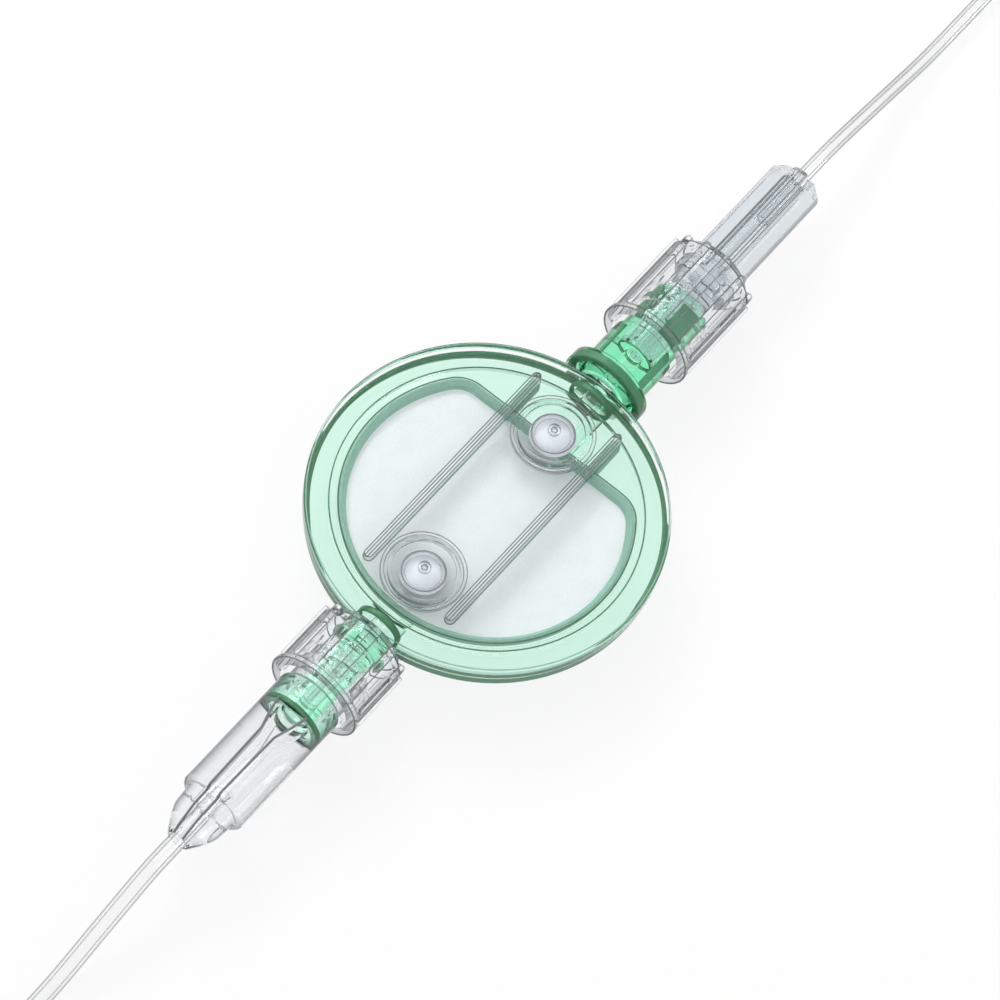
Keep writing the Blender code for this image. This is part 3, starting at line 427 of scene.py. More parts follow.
def prism(outline, low, high, crown=0.0):
    """A flat outline in XY raised between two heights; crown rounds its upper edge."""
    rings = [[(x, y, low) for x, y in outline]]
    if not crown:
        rings.append([(x, y, high) for x, y in outline])
        return loft(rings)
    steps = 3
    for step in range(steps + 1):
        angle = math.pi / 2 * step / steps
        height = high - crown + crown * math.sin(angle)
        inner = outline_inset(outline, crown * (1 - math.cos(angle)))
        rings.append([(x, y, height) for x, y in inner])
    return loft(rings)


def outline_inset(outline, inset):
    """The outline moved inwards along its own normals."""
    area = sum(a[0] * b[1] - b[0] * a[1] for a, b in zip(outline, outline[1:] + outline[:1]))
    sign = 1 if area > 0 else -1
    points = []
    for index, point in enumerate(outline):
        along = Vector(outline[(index + 1) % len(outline)]) - Vector(outline[index - 1])
        normal = Vector((-along.y, along.x)).normalized() * sign
        points.append(tuple(Vector(point) + normal * inset))
    return points


def stack(shapes):
    """Several closed shapes as one."""
    joined = bmesh.new()
    for shape in shapes:
        mesh = bpy.data.meshes.new("part")
        shape.to_mesh(mesh)
        shape.free()
        joined.from_mesh(mesh)
        bpy.data.meshes.remove(mesh)
    return joined


def moved(shape, vector):
    bmesh.ops.translate(shape, verts=shape.verts, vec=vector)
    return shape


def rolled(shape, angle):
    """The shape turned about the flow axis."""
    bmesh.ops.rotate(shape, verts=shape.verts, cent=(0, 0, 0), matrix=Matrix.Rotation(angle, 3, "X"))
    return shape


def temporary(shape):
    bmesh.ops.recalc_face_normals(shape, faces=shape.faces)
    mesh = bpy.data.meshes.new("tool")
    shape.to_mesh(mesh)
    shape.free()
    thing = bpy.data.objects.new("tool", mesh)
    bpy.context.scene.collection.objects.link(thing)
    return thing


def carved(shape, *steps):
    """The shape after each (operation, other shape) in turn."""
    body = temporary(shape)
    tools = []
    for operation, other in steps:
        tool = temporary(other)
        tools.append(tool)
        modifier = body.modifiers.new(operation, "BOOLEAN")
        modifier.operation = operation
        modifier.object = tool
        modifier.solver = "MANIFOLD"
    graph = bpy.context.evaluated_depsgraph_get()
    result = bmesh.new()
    baked = bpy.data.meshes.new_from_object(body.evaluated_get(graph))
    result.from_mesh(baked)
    bpy.data.meshes.remove(baked)
    for thing in [body] + tools:
        mesh = thing.data
        bpy.data.objects.remove(thing, do_unlink=True)
        bpy.data.meshes.remove(mesh)
    return result


ADD = "UNION"
CUT = "DIFFERENCE"
KEEP = "INTERSECT"
SHARP_ANGLE = math.radians(35)


def piece(name, shape, body, material, node=None, local=True):
    """A visible piece from a bmesh, riding on a CAD body; local ones are made about the disc's middle."""
    if local:
        moved(shape, (DISC_X, 0, AXIS_HEIGHT))
    bmesh.ops.recalc_face_normals(shape, faces=shape.faces)
    mesh = bpy.data.meshes.new(name)
    shape.to_mesh(mesh)
    shape.free()
    mesh.shade_smooth()
    mesh.set_sharp_from_angle(angle=SHARP_ANGLE)
    mesh.materials.append(material)
    thing = bpy.data.objects.new(name, mesh)
    bpy.context.scene.collection.objects.link(thing)
    even = thing.modifiers.new("even_shading", "WEIGHTED_NORMAL")
    even.keep_sharp = True
    even.mode = "FACE_AREA_WITH_ANGLE"
    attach(thing, body)
    if node is not None:
        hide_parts(*([node] if isinstance(node, str) else node))
    return thing


def window_outline(offset, arc_steps=120, corner_steps=10):
    """The membrane window grown by an offset: a circle, a chord and two round corners."""
    radius = WINDOW_RADIUS + offset
    chord = WINDOW_CHORD + offset
    corner = WINDOW_CORNER + offset
    corner_x = chord - corner
    corner_y = math.sqrt((radius - corner) ** 2 - corner_x ** 2)
    join = math.atan2(corner_y, corner_x)
    points = []
    for step in range(arc_steps + 1):
        angle = join + (TURN - 2 * join) * step / arc_steps
        points.append((radius * math.cos(angle), radius * math.sin(angle)))
    for step in range(1, corner_steps + 1):
        angle = -join + join * step / corner_steps
        points.append((corner_x + corner * math.cos(angle), -corner_y + corner * math.sin(angle)))
    for step in range(corner_steps):
        angle = join * step / corner_steps
        points.append((corner_x + corner * math.cos(angle), corner_y + corner * math.sin(angle)))
    return points


def stadium(start, end, width, steps=10):
    radius = width / 2
    points = []
    for centre, first in ((end - radius, -math.pi / 2), (start + radius, math.pi / 2)):
        for step in range(steps + 1):
            angle = first + math.pi * step / steps
            points.append((centre + radius * math.cos(angle), radius * math.sin(angle)))
    return points


def luer(distance_from_mouth):
    return LUER_MOUTH - 0.03 * distance_from_mouth


def helix_bar(place, first, last, inner, outer, inner_width, outer_width, steps):
    """A bar wound round X with the thread's lead; place is its x at angle 0."""
    section = ((-inner_width / 2, inner), (inner_width / 2, inner),
               (outer_width / 2, outer), (-outer_width / 2, outer))
    rings = []
    for step in range(steps + 1):
        angle = first + (last - first) * step / steps
        middle = place + THREAD_LEAD * angle / TURN
        rings.append([(middle + along, -radius * math.sin(angle), radius * math.cos(angle))
                      for along, radius in section])
    return loft(rings)


def lugs(mouth):
    """The two lugs just behind a female hub's mouth."""
    bars = []
    for turn in (0, math.pi):
        place = mouth - LUG_MIDDLE - THREAD_LEAD * turn / TURN
        bars.append(helix_bar(place, turn - LUG_REACH, turn + LUG_REACH, HUB_RADIUS - OVERLAP, LUG_RADIUS,
                              *LUG_WIDTHS, 14))
    return stack(bars)


def thread(hub_mouth, low, high):
    """The two starts of a collar's thread, midway between the lugs of the hub."""
    bars = []
    half = THREAD_WIDTHS[1] / 2
    for start in range(2):
        place = hub_mouth - LUG_MIDDLE + THREAD_LEAD / 4 + THREAD_LEAD / 2 * start
        first = TURN * (low + half - place) / THREAD_LEAD
        last = TURN * (high - half - place) / THREAD_LEAD
        bars.append(helix_bar(place, first, last, THREAD_CREST, THREAD_ROOT + OVERLAP, *THREAD_WIDTHS,
                              math.ceil(48 * (last - first) / TURN)))
    return stack(bars)


def sleeve(outer, inner):
    """A wall between two sets of rings, open at both ends."""
    shape = bmesh.new()
    walls = [[[shape.verts.new(point) for point in ring] for ring in rings] for rings in (outer, inner)]
    for wall in walls:
        for one, other in zip(wall, wall[1:]):
            bridge(shape, one, other)
    for end in (0, -1):
        bridge(shape, walls[0][end], walls[1][end])
    return shape


def pipe(points, radii, steps=32):
    """A hollow tube along the points, its outer and inner radius given."""
    frames = []
    side = Vector((0, 1, 0))
    for index, point in enumerate(points):
        ahead = (points[min(index + 1, len(points) - 1)] - points[max(index - 1, 0)]).normalized()
        side = (side - ahead * side.dot(ahead)).normalized()
        frames.append((point, side.copy(), ahead.cross(side)))
    spokes = [(math.cos(TURN * k / steps), math.sin(TURN * k / steps)) for k in range(steps)]
    walls = []
    for radius in radii:
        walls.append([[point + radius * (right * across + rise * up) for right, rise in spokes]
                      for point, across, up in frames])
    return sleeve(*walls)


# Housing base
def housing_base():
    disc = turned([(BASE_BOTTOM, 0), (BASE_BOTTOM, BASE_RIM - 0.35 * MM), (BASE_BOTTOM + 0.35 * MM, BASE_RIM),
                   (SEAM, BASE_RIM), (SEAM, 0)], 192, "Z", 0.2 * MM)
    inlet = turned([
        (VENT_OFFSET, 0), (VENT_OFFSET, BOSS_RADIUS), (FLANGE_START, BOSS_RADIUS),
        (FLANGE_START, FLANGE_RADIUS), (FLANGE_END, FLANGE_RADIUS), (FLANGE_END, HUB_FOOT_RADIUS),
        (INLET_COLLAR_MOUTH - 2 * FIT, HUB_FOOT_RADIUS), (INLET_COLLAR_MOUTH - FIT, HUB_RADIUS),
        (INLET_MOUTH, HUB_RADIUS), (INLET_MOUTH, 0),
    ], 128, "X", 0.22 * MM)
    bead_end = BEAD_START - 0.7 * MM
    bead_radius = BOSS_RADIUS + 0.5 * MM
    outlet = turned([
        (OUTLET_TIP, 0), (OUTLET_TIP, luer(OUTLET_MOUTH - OUTLET_TIP) - FIT), (OUTLET_MOUTH,
         LUER_MOUTH - FIT),
        (bead_end, luer(OUTLET_MOUTH - bead_end) - FIT), (bead_end, BOSS_RADIUS),
        (bead_end + 0.35 * MM, bead_radius), (BEAD_START, bead_radius),
        (BEAD_START, BOSS_RADIUS), (-VENT_OFFSET, BOSS_RADIUS), (-VENT_OFFSET, 0),
    ], 128, "X", 0.12 * MM)
    cover_room = rod(SEAM, TALL, DISC_RADIUS + FIT, 192, "Z")
    necks = carved(stack([inlet, outlet]), (CUT, cover_room))
    bottom = INLET_MOUTH - LUER_DEPTH
    inlet_bore = turned([
        (WINDOW_CHORD + WELD_WIDTH, 0), (WINDOW_CHORD + WELD_WIDTH, CHANNEL_RADIUS), (bottom, CHANNEL_RADIUS),
        (bottom, luer(LUER_DEPTH)), (INLET_MOUTH + OVERLAP, luer(-OVERLAP)), (INLET_MOUTH + OVERLAP, 0),
    ], 96)
    outlet_bore = rod(OUTLET_TIP - OVERLAP, -WINDOW_RADIUS + 2 * WELD_WIDTH, CHANNEL_RADIUS, 64)
    rings = []
    floor = BED - GROOVE_DEPTH
    pitch = (WINDOW_RADIUS - WELD_WIDTH) / (GROOVES + 0.25)
    for index in range(GROOVES):
        outer = WINDOW_RADIUS - WELD_WIDTH - pitch * index
        inner = outer - pitch + GROOVE_WALL
        rings.append(turned([(floor, inner), (floor, outer), (SEAM, outer), (SEAM, inner)], 128, "Z"))
    grooves = carved(stack(rings), (KEEP, prism(window_outline(-WELD_WIDTH), BED - MM, 4 * MM)))
    crossing = stadium(-WINDOW_RADIUS + WELD_WIDTH, WINDOW_CHORD - 2 * WELD_WIDTH, 2 * CHANNEL_RADIUS)
    return carved(disc, (ADD, necks), (ADD, lugs(INLET_MOUTH)),
                  (CUT, prism(window_outline(FIT), BED, 4 * MM)), (CUT, grooves), (CUT, inlet_bore),
                  (CUT, outlet_bore), (CUT, prism(crossing, floor, 4 * MM)))


# Housing cover
def housing_cover():
    disc = turned([(COVER_UNDERSIDE, 0), (COVER_UNDERSIDE, DISC_RADIUS), (COVER_TOP - 0.3 * MM, DISC_RADIUS),
                   (COVER_TOP, DISC_RADIUS - 0.35 * MM), (COVER_TOP, 0)], 192, "Z", 0.15 * MM)
    boss_inner = VENT_OFFSET + VENT_RING - VENT_RING_WIDTH
    bosses = carved(stack([rod(boss_inner, 2 * DISC_RADIUS, BOSS_RADIUS, 96),
                           rod(-2 * DISC_RADIUS, -boss_inner, BOSS_RADIUS, 96)]),
                    (KEEP, rod(COVER_UNDERSIDE, TALL, DISC_RADIUS, 192, "Z")))
    ribs = []
    rings = []
    seats = []
    bottom = COVER_TOP - OVERLAP
    floor = COVER_TOP - 0.55 * MM
    inner = VENT_RING - VENT_RING_WIDTH
    for side in (-1, 1):
        outline = [(x, y + side * RIB_OFFSET) for x, y in stadium(*RIB_ENDS, RIB_WIDTH)]
        ribs.append(prism(outline, bottom, COVER_TOP + RIB_HEIGHT, 0.25 * MM))
        ring = turned([(bottom, inner), (bottom, VENT_RING), (VENT_RING_TOP, VENT_RING),
                       (VENT_RING_TOP, inner)], 96, "Z", 0.12 * MM)
        rings.append(moved(ring, (side * VENT_OFFSET, 0, 0)))
        seat = turned([(0, 0), (0, 1.5 * MM), (floor, 1.5 * MM), (floor, inner - FIT),
                       (2 * COVER_TOP, inner - FIT), (2 * COVER_TOP, 0)], 96, "Z")
        seats.append(moved(seat, (side * VENT_OFFSET, 0, 0)))
    chamber = turned([(-2 * MM, 0), (-2 * MM, CHAMBER_RADIUS), (CHAMBER_TOP, CHAMBER_RADIUS),
                      (CHAMBER_TOP, 0)], 192, "Z", 0.2 * MM)
    channel = stack([rod(WINDOW_CHORD - 2 * WELD_WIDTH, 2 * DISC_RADIUS, CHANNEL_RADIUS, 64),
                     rod(-2 * DISC_RADIUS, -CHAMBER_RADIUS - WELD_WIDTH, CHANNEL_RADIUS, 64)])
    return carved(disc, (ADD, bosses), (ADD, stack(ribs)), (ADD, stack(rings)), (CUT, chamber),
                  (CUT, stack(seats)), (CUT, channel))


def vent_cap(side):
    """Domed cap with a rim and a ported nipple."""
    low = COVER_TOP - 0.1 * MM
    plate = low + 0.4 * MM
    dome = plate + 0.7 * MM
    roof = dome - 0.4 * MM
    outer, hollow, nipple, port = 3.65 * MM, 1.8 * MM, 0.65 * MM, 0.3 * MM
    rim, lip = outer - 0.4 * MM, plate + 0.4 * MM
    outline = [(low, hollow), (low, outer), (lip, outer), (lip, rim), (plate, rim)]
    for step in range(13):
        angle = math.pi / 2 * step / 12
        outline.append((plate + (dome - plate) * math.sin(angle), nipple + 1.55 * MM * math.cos(angle)))
    outline += [(dome + 0.4 * MM, nipple), (dome + 0.4 * MM, port), (roof, port), (roof, nipple),
                (low + FIT, hollow)]
    return moved(turned(outline, 96, "Z", 0.1 * MM), (side * VENT_OFFSET, 0, 0))


def vent_disc(side):
    floor = COVER_TOP - 0.4 * MM
    radius = 2.4 * MM
    outline = [(floor, 0), (floor, radius), (floor + 0.15 * MM, radius), (floor + 0.15 * MM, 0)]
    return moved(turned(outline, 64, "Z", 0.04 * MM), (side * VENT_OFFSET, 0, 0))


def lock_collar(mouth, back, hub_mouth, hole):
    """Turning collar: grip ribs outside, a back wall with a hole, the thread inside."""
    inner_back = back - BACK_WALL
    chamfer = 1.1 * MM
    shell = turned([(mouth, THREAD_ROOT), (mouth, COLLAR_RADIUS), (mouth + 0.5 * MM, COLLAR_RADIUS),
                    (mouth + 0.85 * MM, COLLAR_BODY), (back - chamfer, COLLAR_BODY),
                    (back, COLLAR_BODY - chamfer), (back, hole), (inner_back, hole),
                    (inner_back, THREAD_ROOT)], 144, "X", 0.15 * MM)
    top = math.sqrt(COLLAR_RADIUS ** 2 - (GRIP_WIDTH / 2) ** 2)
    outline = stadium(mouth + MM, back - 0.55 * MM, GRIP_WIDTH, 8)
    bars = [rolled(prism(outline, COLLAR_BODY - 0.75 * MM, top, 0.2 * MM), TURN * (index + 0.5) / GRIP_RIBS)
            for index in range(GRIP_RIBS)]
    return carved(shell, (ADD, stack(bars)),
                  (ADD, thread(hub_mouth, mouth + 0.9 * MM, hub_mouth + 0.95 * MM)))


def fin_section(side_width, top_width, corner_steps=8):
    """Cross of two side fins and two upright fins, round where they reach the envelope."""
    points = []
    for quarter in range(4):
        width = side_width if quarter % 2 == 0 else top_width
        other = top_width if quarter % 2 == 0 else side_width
        spread = math.asin(width / 2 / FIN_RADIUS)
        turn = Matrix.Rotation(quarter * math.pi / 2, 2)
        for step in range(corner_steps + 1):
            angle = -spread + 2 * spread * step / corner_steps
            tip = Vector((FIN_RADIUS * math.cos(angle), FIN_RADIUS * math.sin(angle)))
            points.append(tuple(turn @ tip))
        points.append(tuple(turn @ Vector((other / 2, width / 2))))
    return rounded(points, 0.18 * MM, steps=3)


def along_axis(section, start, end):
    """A (y, z) section drawn out along X."""
    return loft([[(start, y, z) for y, z in section], [(end, y, z) for y, z in section]])


def inlet_tube_connector():
    tip = INLET_MOUTH - LUER_DEPTH + 0.5 * MM
    stop = STOP_BACK - BACK_WALL
    body = turned([(tip, 0), (tip, luer(INLET_MOUTH - tip) - FIT), (INLET_MOUTH + FIT, LUER_MOUTH - FIT),
                   (stop, FIN_RADIUS), (stop, STOP_RADIUS), (STOP_BACK, STOP_RADIUS),
                   (STOP_BACK, STEM_RADIUS), (INLET_EXIT, STEM_RADIUS), (INLET_EXIT, 0)],
                  112, "X", 0.14 * MM)
    beyond = INLET_EXIT + OVERLAP
    chamfer = INLET_EXIT - FIN_END_CHAMFER
    wide = 6 * MM
    point = turned([(stop, 0), (stop, wide), (chamfer, wide), (chamfer, FIN_RADIUS + OVERLAP),
                    (beyond, FIN_RADIUS - FIN_END_CHAMFER), (beyond, 0)], 112)
    fins = carved(along_axis(fin_section(*FIN_WIDTHS), STOP_BACK - 0.6 * MM, INLET_EXIT), (KEEP, point))
    socket = INLET_EXIT - SOCKET_DEPTH
    tube = INLET_TUBE / 2 + FIT
    bore = turned([(tip - OVERLAP, 0), (tip - OVERLAP, BORE), (socket, BORE), (socket, tube),
                   (beyond, tube), (beyond, 0)], 64)
    return carved(body, (ADD, fins), (CUT, bore))


def nose_point(angle):
    """The (x, radius) of the outlet connector's nose, from its end at 0 to its shoulder at a right angle."""
    x = OUTLET_EXIT + (NOSE_START - OUTLET_EXIT) * math.sin(angle)
    return x, NOSE_RADIUS - (NOSE_RADIUS - NOSE_END_RADIUS) * (1 - math.sin(angle)) ** 1.3


def outlet_tube_connector():
    nose = [nose_point(math.pi / 2 * step / 16) for step in range(17)]
    outside = OUTLET_COLLAR_MOUTH - FIT
    body = turned([(OUTLET_EXIT, 0)] + nose + [
        (GRIP_END, NOSE_RADIUS + FIT), (GRIP_END, BODY_RADIUS - 0.35 * MM),
        (GRIP_END + 0.35 * MM, BODY_RADIUS), (outside - 0.35 * MM, BODY_RADIUS), (outside, HUB_RADIUS),
        (OUTLET_MOUTH, HUB_RADIUS), (OUTLET_MOUTH, 0),
    ], 128, "X", 0.16 * MM)
    bottom = OUTLET_MOUTH - LUER_DEPTH
    floor = BORE + 0.8 * MM
    top = 2 * BODY_RADIUS
    cuts = []
    for turn in (0, math.pi):
        rings = []
        for place, width, low in ((bottom - FIT, 3.5 * MM, luer(LUER_DEPTH) + 0.8 * MM),
                                  (bottom - FIT - FUNNEL_LENGTH, 1.6 * MM, floor),
                                  (GRIP_END - OVERLAP, 1.3 * MM, floor)):
            rings.append([(place, -width / 2, low), (place, width / 2, low), (place, width / 2, top),
                          (place, -width / 2, top)])
        cuts.append(rolled(loft(rings), turn))
    notch = [(0, BODY_RADIUS - 1.2 * MM), (0.8 * MM, top), (-0.8 * MM, top)]
    for turn in (math.pi / 2, -math.pi / 2):
        cuts.append(rolled(along_axis(notch, GRIP_END - OVERLAP, bottom - FUNNEL_LENGTH), turn))
    flutes = []
    for place in (-1, 1):
        for turn in (0, math.pi):
            flute = rod(OUTLET_EXIT - OVERLAP, GRIP_END, 0.45 * MM, 32)
            flutes.append(rolled(moved(flute, (0, place * 1.4 * MM, NOSE_RADIUS)), turn))
    tube = OUTLET_TUBE / 2 + FIT
    socket = turned([(OUTLET_EXIT - OVERLAP, 0), (OUTLET_EXIT - OVERLAP, tube),
                     (OUTLET_EXIT + SOCKET_DEPTH, tube), (OUTLET_EXIT + SOCKET_DEPTH, BORE),
                     (bottom - FUNNEL_LENGTH, BORE), (bottom, luer(LUER_DEPTH)),
                     (OUTLET_MOUTH + OVERLAP, luer(-OVERLAP)), (OUTLET_MOUTH + OVERLAP, 0)], 96)
    return carved(body, (ADD, lugs(OUTLET_MOUTH)), (CUT, stack(cuts)), (CUT, stack(flutes)), (CUT, socket))


def bead_ring(radius, width, height, place, axis="Z"):
    """A thin ring, oval in section."""
    outline = []
    for step in range(12):
        angle = TURN * step / 12
        outline.append((place + height / 2 * math.sin(angle), radius + width / 2 * math.cos(angle)))
    return turned(outline, 192, axis)


def window_band(section):
    """A closed band along the window's outline, from (offset, height) corners."""
    return closed_band([[(x, y, height) for x, y in window_outline(offset)] for offset, height in section])


def window_weld():
    low = SEAM + 0.03 * MM
    high = CHAMBER_TOP - 0.05 * MM
    return window_band([(0, low), (0, high - 0.15 * MM), (-0.3 * WELD_WIDTH, high),
                        (-0.8 * WELD_WIDTH, high - 0.35 * MM), (-WELD_WIDTH, low)])


def window_line():
    """The bead that squeezed out along the weld's outer side."""
    half = 0.08 * MM
    middle = 0.1 * MM
    high = CHAMBER_TOP - 0.15 * MM
    return window_band([(middle - half, high), (middle, high + half), (middle + half, high),
                        (middle, high - half)])


def painted_rib_lines(side):
    """Painted shade: grey lines along a rib's crest, its two shoulders and its foot."""
    crest = COVER_TOP + RIB_HEIGHT
    lines = []
    for width, height in ((0.4 * MM, crest - 0.05 * MM), (RIB_WIDTH - 0.14 * MM, crest - 0.1 * MM),
                          (RIB_WIDTH + 0.12 * MM, COVER_TOP + 0.02 * MM)):
        outer = stadium(RIB_ENDS[0] - 0.06 * MM, RIB_ENDS[1] + 0.06 * MM, width)
        inner = outline_inset(outer, 0.1 * MM)
        corners = ((outer, height), (outer, height + 0.08 * MM), (inner, height + 0.08 * MM), (inner, height))
        lines.append(closed_band([[(x, y + side * RIB_OFFSET, up) for x, y in outline]
                                  for outline, up in corners]))
    return stack(lines)


def painted_vent_lines(side):
    """Painted shade: thin grey rings at the vent's seat, its cap's rim and dome, and the nipple's port."""
    rings = [bead_ring(radius, width, 0.08 * MM, COVER_TOP + height) for radius, width, height in (
        (VENT_RING - 0.06 * MM, 0.1 * MM, 0.38 * MM),
        (VENT_RING - VENT_RING_WIDTH + 0.05 * MM, 0.08 * MM, 0.38 * MM),
        (2.25 * MM, 0.12 * MM, 0.36 * MM), (0.62 * MM, 0.09 * MM, 1.02 * MM),
        (0.3 * MM, 0.16 * MM, 1.2 * MM))]
    return moved(stack(rings), (side * VENT_OFFSET, 0, 0))


def painted_hub_shade():
    """Painted shade: darker lengthwise bands in the hub's wall."""
    bands = []
    for start, end, first, last in ((20.5 * MM, 26.2 * MM, 60, 80), (26.8 * MM, 31.2 * MM, 14, 66),
                                    (27.2 * MM, 31.4 * MM, -70, -38), (21.0 * MM, 25.6 * MM, -58, -50)):
        section = []
        for radius, steps in ((2.75 * MM, range(9)), (3.0 * MM, range(8, -1, -1))):
            for step in steps:
                angle = math.radians(first + (last - first) * step / 8)
                section.append((-radius * math.sin(angle), radius * math.cos(angle)))
        bands.append(along_axis(section, start, end))
    return stack(bands)


def painted_collar_lines(mouth, back):
    """Painted shade lines at both feet of every grip rib."""
    outline = stadium(mouth + 1.1 * MM, back - 0.7 * MM, 0.12 * MM, 2)
    lines = []
    for index in range(GRIP_RIBS):
        for side in (-1, 1):
            line = prism(outline, COLLAR_BODY - 0.03 * MM, COLLAR_BODY + 0.03 * MM)
            lines.append(rolled(moved(line, (0, side * 0.47 * MM, 0)), TURN * (index + 0.5) / GRIP_RIBS))
    return stack(lines)


def rib_foot(side):
    """The base's own short rib under the cover's, on the inlet side."""
    outline = [(x, y + side * RIB_OFFSET) for x, y in stadium(9.4 * MM, RIB_ENDS[1] + 0.2 * MM, RIB_WIDTH)]
    return prism(outline, SEAM + 0.02 * MM, CHAMBER_TOP - 0.1 * MM, 0.2 * MM)


def painted_line(points, width):
    """A thin painted shade line through the points."""
    route = []
    for start, end in zip(points, points[1:]):
        start, end = Vector(start), Vector(end)
        steps = max(1, round((end - start).length / (0.4 * MM)))
        route += [start.lerp(end, step / steps) for step in range(steps)]
    return pipe(route + [Vector(points[-1])], (width / 2, width / 8), 8)


def painted_fin_lines():
    """Painted shade lines at the feet of the upright fins."""
    start, end = STOP_BACK + 0.3 * MM, INLET_EXIT - FIN_END_CHAMFER
    lines = []
    for y, width in ((1.1, 0.5), (0.7, 0.1), (-0.8, 0.1), (-1.15, 0.1)):
        lines.append(moved(prism(stadium(start, end, width * MM, 4), 1.12 * MM, 1.2 * MM), (0, y * MM, 0)))
    return stack(lines)


def painted_channel_lines():
    """Painted shade lines on both shoulders of the outlet connector's channel, and on down the nose."""
    wide = OUTLET_MOUTH - LUER_DEPTH - FIT
    lines = []
    for side in (-1, 1):
        path = [(wide, 1.75 * MM), (wide - 0.5 * FUNNEL_LENGTH, 1.35 * MM),
                (wide - FUNNEL_LENGTH, 0.82 * MM), (GRIP_END + 0.3 * MM, 0.68 * MM)]
        points = [(x, side * y, math.sqrt((BODY_RADIUS - 0.02 * MM) ** 2 - y ** 2)) for x, y in path]
        for step in range(9):
            along = step / 8
            x, radius = nose_point(math.pi / 2 * (1 - along))
            y = (0.68 - 0.12 * along) * MM
            if not step:
                points.append((GRIP_END - 0.1 * MM, side * y, radius))
            points.append((x, side * y, math.sqrt(radius ** 2 - y ** 2)))
        lines.append(painted_line(points, 0.26 * MM))
    return stack(lines)


def mouth_liner():
    """The green lining of the outlet connector's mouth."""
    bottom = OUTLET_MOUTH - LUER_DEPTH - FIT
    inner = 2.3 * MM
    return turned([(bottom, inner), (bottom, BODY_RADIUS - 0.35 * MM),
                   (OUTLET_COLLAR_MOUTH, BODY_RADIUS - 0.55 * MM), (OUTLET_COLLAR_MOUTH, inner)],
                  96, "X", 0.1 * MM)


def painted_lip_lines(mouth, back):
    """Painted shade: grey rings at the collar's mouth, its shoulder and its back."""
    return stack([bead_ring(radius, width * MM, height * MM, place, "X") for radius, width, height, place in (
        (COLLAR_RADIUS - 0.12 * MM, 0.16, 0.16, mouth + 0.12 * MM),
        (COLLAR_BODY - 0.12 * MM, 0.14, 0.14, back - 1.05 * MM),
        (COLLAR_BODY - 1.05 * MM, 0.22, 0.16, back - 0.14 * MM))])


def flange_shaded_core():
    """The flange's thick middle, a darker green core that is partly the flange's thickness and partly painted
    shade.
    """
    low = FLANGE_START + 0.28 * MM
    high = FLANGE_END - 0.28 * MM
    inner, outer = 3.75 * MM, 4.5 * MM
    return turned([(low, inner), (low, outer), (high, outer), (high, inner)], 128, "X", 0.15 * MM)


def housing_ring(name, radius, width, height, place, material, axis="Z"):
    """A thin ring on the housing, its width and height in millimetres."""
    piece(name, bead_ring(radius, width * MM, height * MM, place, axis), "housing", material)


piece("mint_base", housing_base(), "housing", green, "housing_base")
piece("clear_cover", housing_cover(), "housing", cover_clear, "housing_cover")
piece("filter_sheet", prism(window_outline(-WELD_WIDTH - 0.05 * MM), BED + FIT, BED + 0.3 * MM), "housing",
      filter_white, "filter_membrane")
piece("window_weld", window_weld(), "housing", weld_and_shade_green)
piece("window_line", window_line(), "housing", deep_green)
housing_ring("rim_weld", 18.0 * MM, 0.5, 0.13, SEAM + FIT / 2, deep_green)
housing_ring("chamber_bead", CHAMBER_RADIUS - 0.08 * MM, 0.15, 0.15, CHAMBER_TOP - 0.09 * MM, deep_green)
# Painted shade: a thin line along the cover's top edge
housing_ring("cover_edge_shade_line", DISC_RADIUS - 0.24 * MM, 0.14, 0.14, COVER_TOP - 0.26 * MM, weld_and_shade_green)
for side, label in ((1, "left"), (-1, "right")):
    piece(label + "_painted_rib_lines", painted_rib_lines(side), "housing", painted_shade_grey)
    piece(label + "_rib_foot", rib_foot(side), "housing", weld_and_shade_green)
# Painted shade: a dark green band round the side of the base's rim
housing_ring("painted_base_edge_shade", BASE_RIM - 0.17 * MM, 0.24, 0.95, BASE_BOTTOM + 0.72 * MM, shade_green)
piece("painted_hub_shade", painted_hub_shade(), "housing", shade_green)
# Painted shade: dark green rings across each boss
for label, place in (("inlet", 17.0 * MM), ("outlet", -17.1 * MM)):
    housing_ring(label + "_boss_shade_ring", BOSS_RADIUS - 0.2 * MM, 0.3, 0.8, place, deep_green, "X")
housing_ring("socket_ring", 1.75 * MM, 0.14, 0.14, INLET_MOUTH - LUER_DEPTH - 0.1 * MM, deep_green, "X")
piece("flange_shaded_core", flange_shaded_core(), "housing", deep_green)
housing_ring("cone_tip_ring", 1.4 * MM, 0.2, 0.2, OUTLET_TIP + 0.2 * MM, weld_and_shade_green, "X")
for side, label in ((1, "inlet"), (-1, "outlet")):
    piece(label + "_vent_dome", vent_cap(side), "housing", cap_clear, label + "_vent_cap")
    piece(label + "_vent_felt", vent_disc(side), "housing", vent_white,
          label + "_vent_membrane")
    piece(label + "_painted_vent_lines", painted_vent_lines(side), "housing", painted_pale_shade)
for label, mouth, back, hub_mouth, hole in (
        ("inlet", INLET_COLLAR_MOUTH, INLET_COLLAR_BACK, INLET_MOUTH, FIN_RADIUS + FIT),
        ("outlet", OUTLET_COLLAR_MOUTH, OUTLET_COLLAR_BACK, OUTLET_MOUTH, BOSS_RADIUS + FIT)):
    piece(label + "_collar_shell", lock_collar(mouth, back, hub_mouth, hole), label + "_collar", collar_clear,
          label + "_lock_collar")
piece("inlet_connector_body", inlet_tube_connector(), "inlet_connector", grey_clear,
      "inlet_tube_connector")
piece("outlet_connector_body", outlet_tube_connector(), "outlet_connector", clear,
      "outlet_tube_connector")
piece("painted_fin_lines", painted_fin_lines(), "inlet_connector", painted_shade_grey)
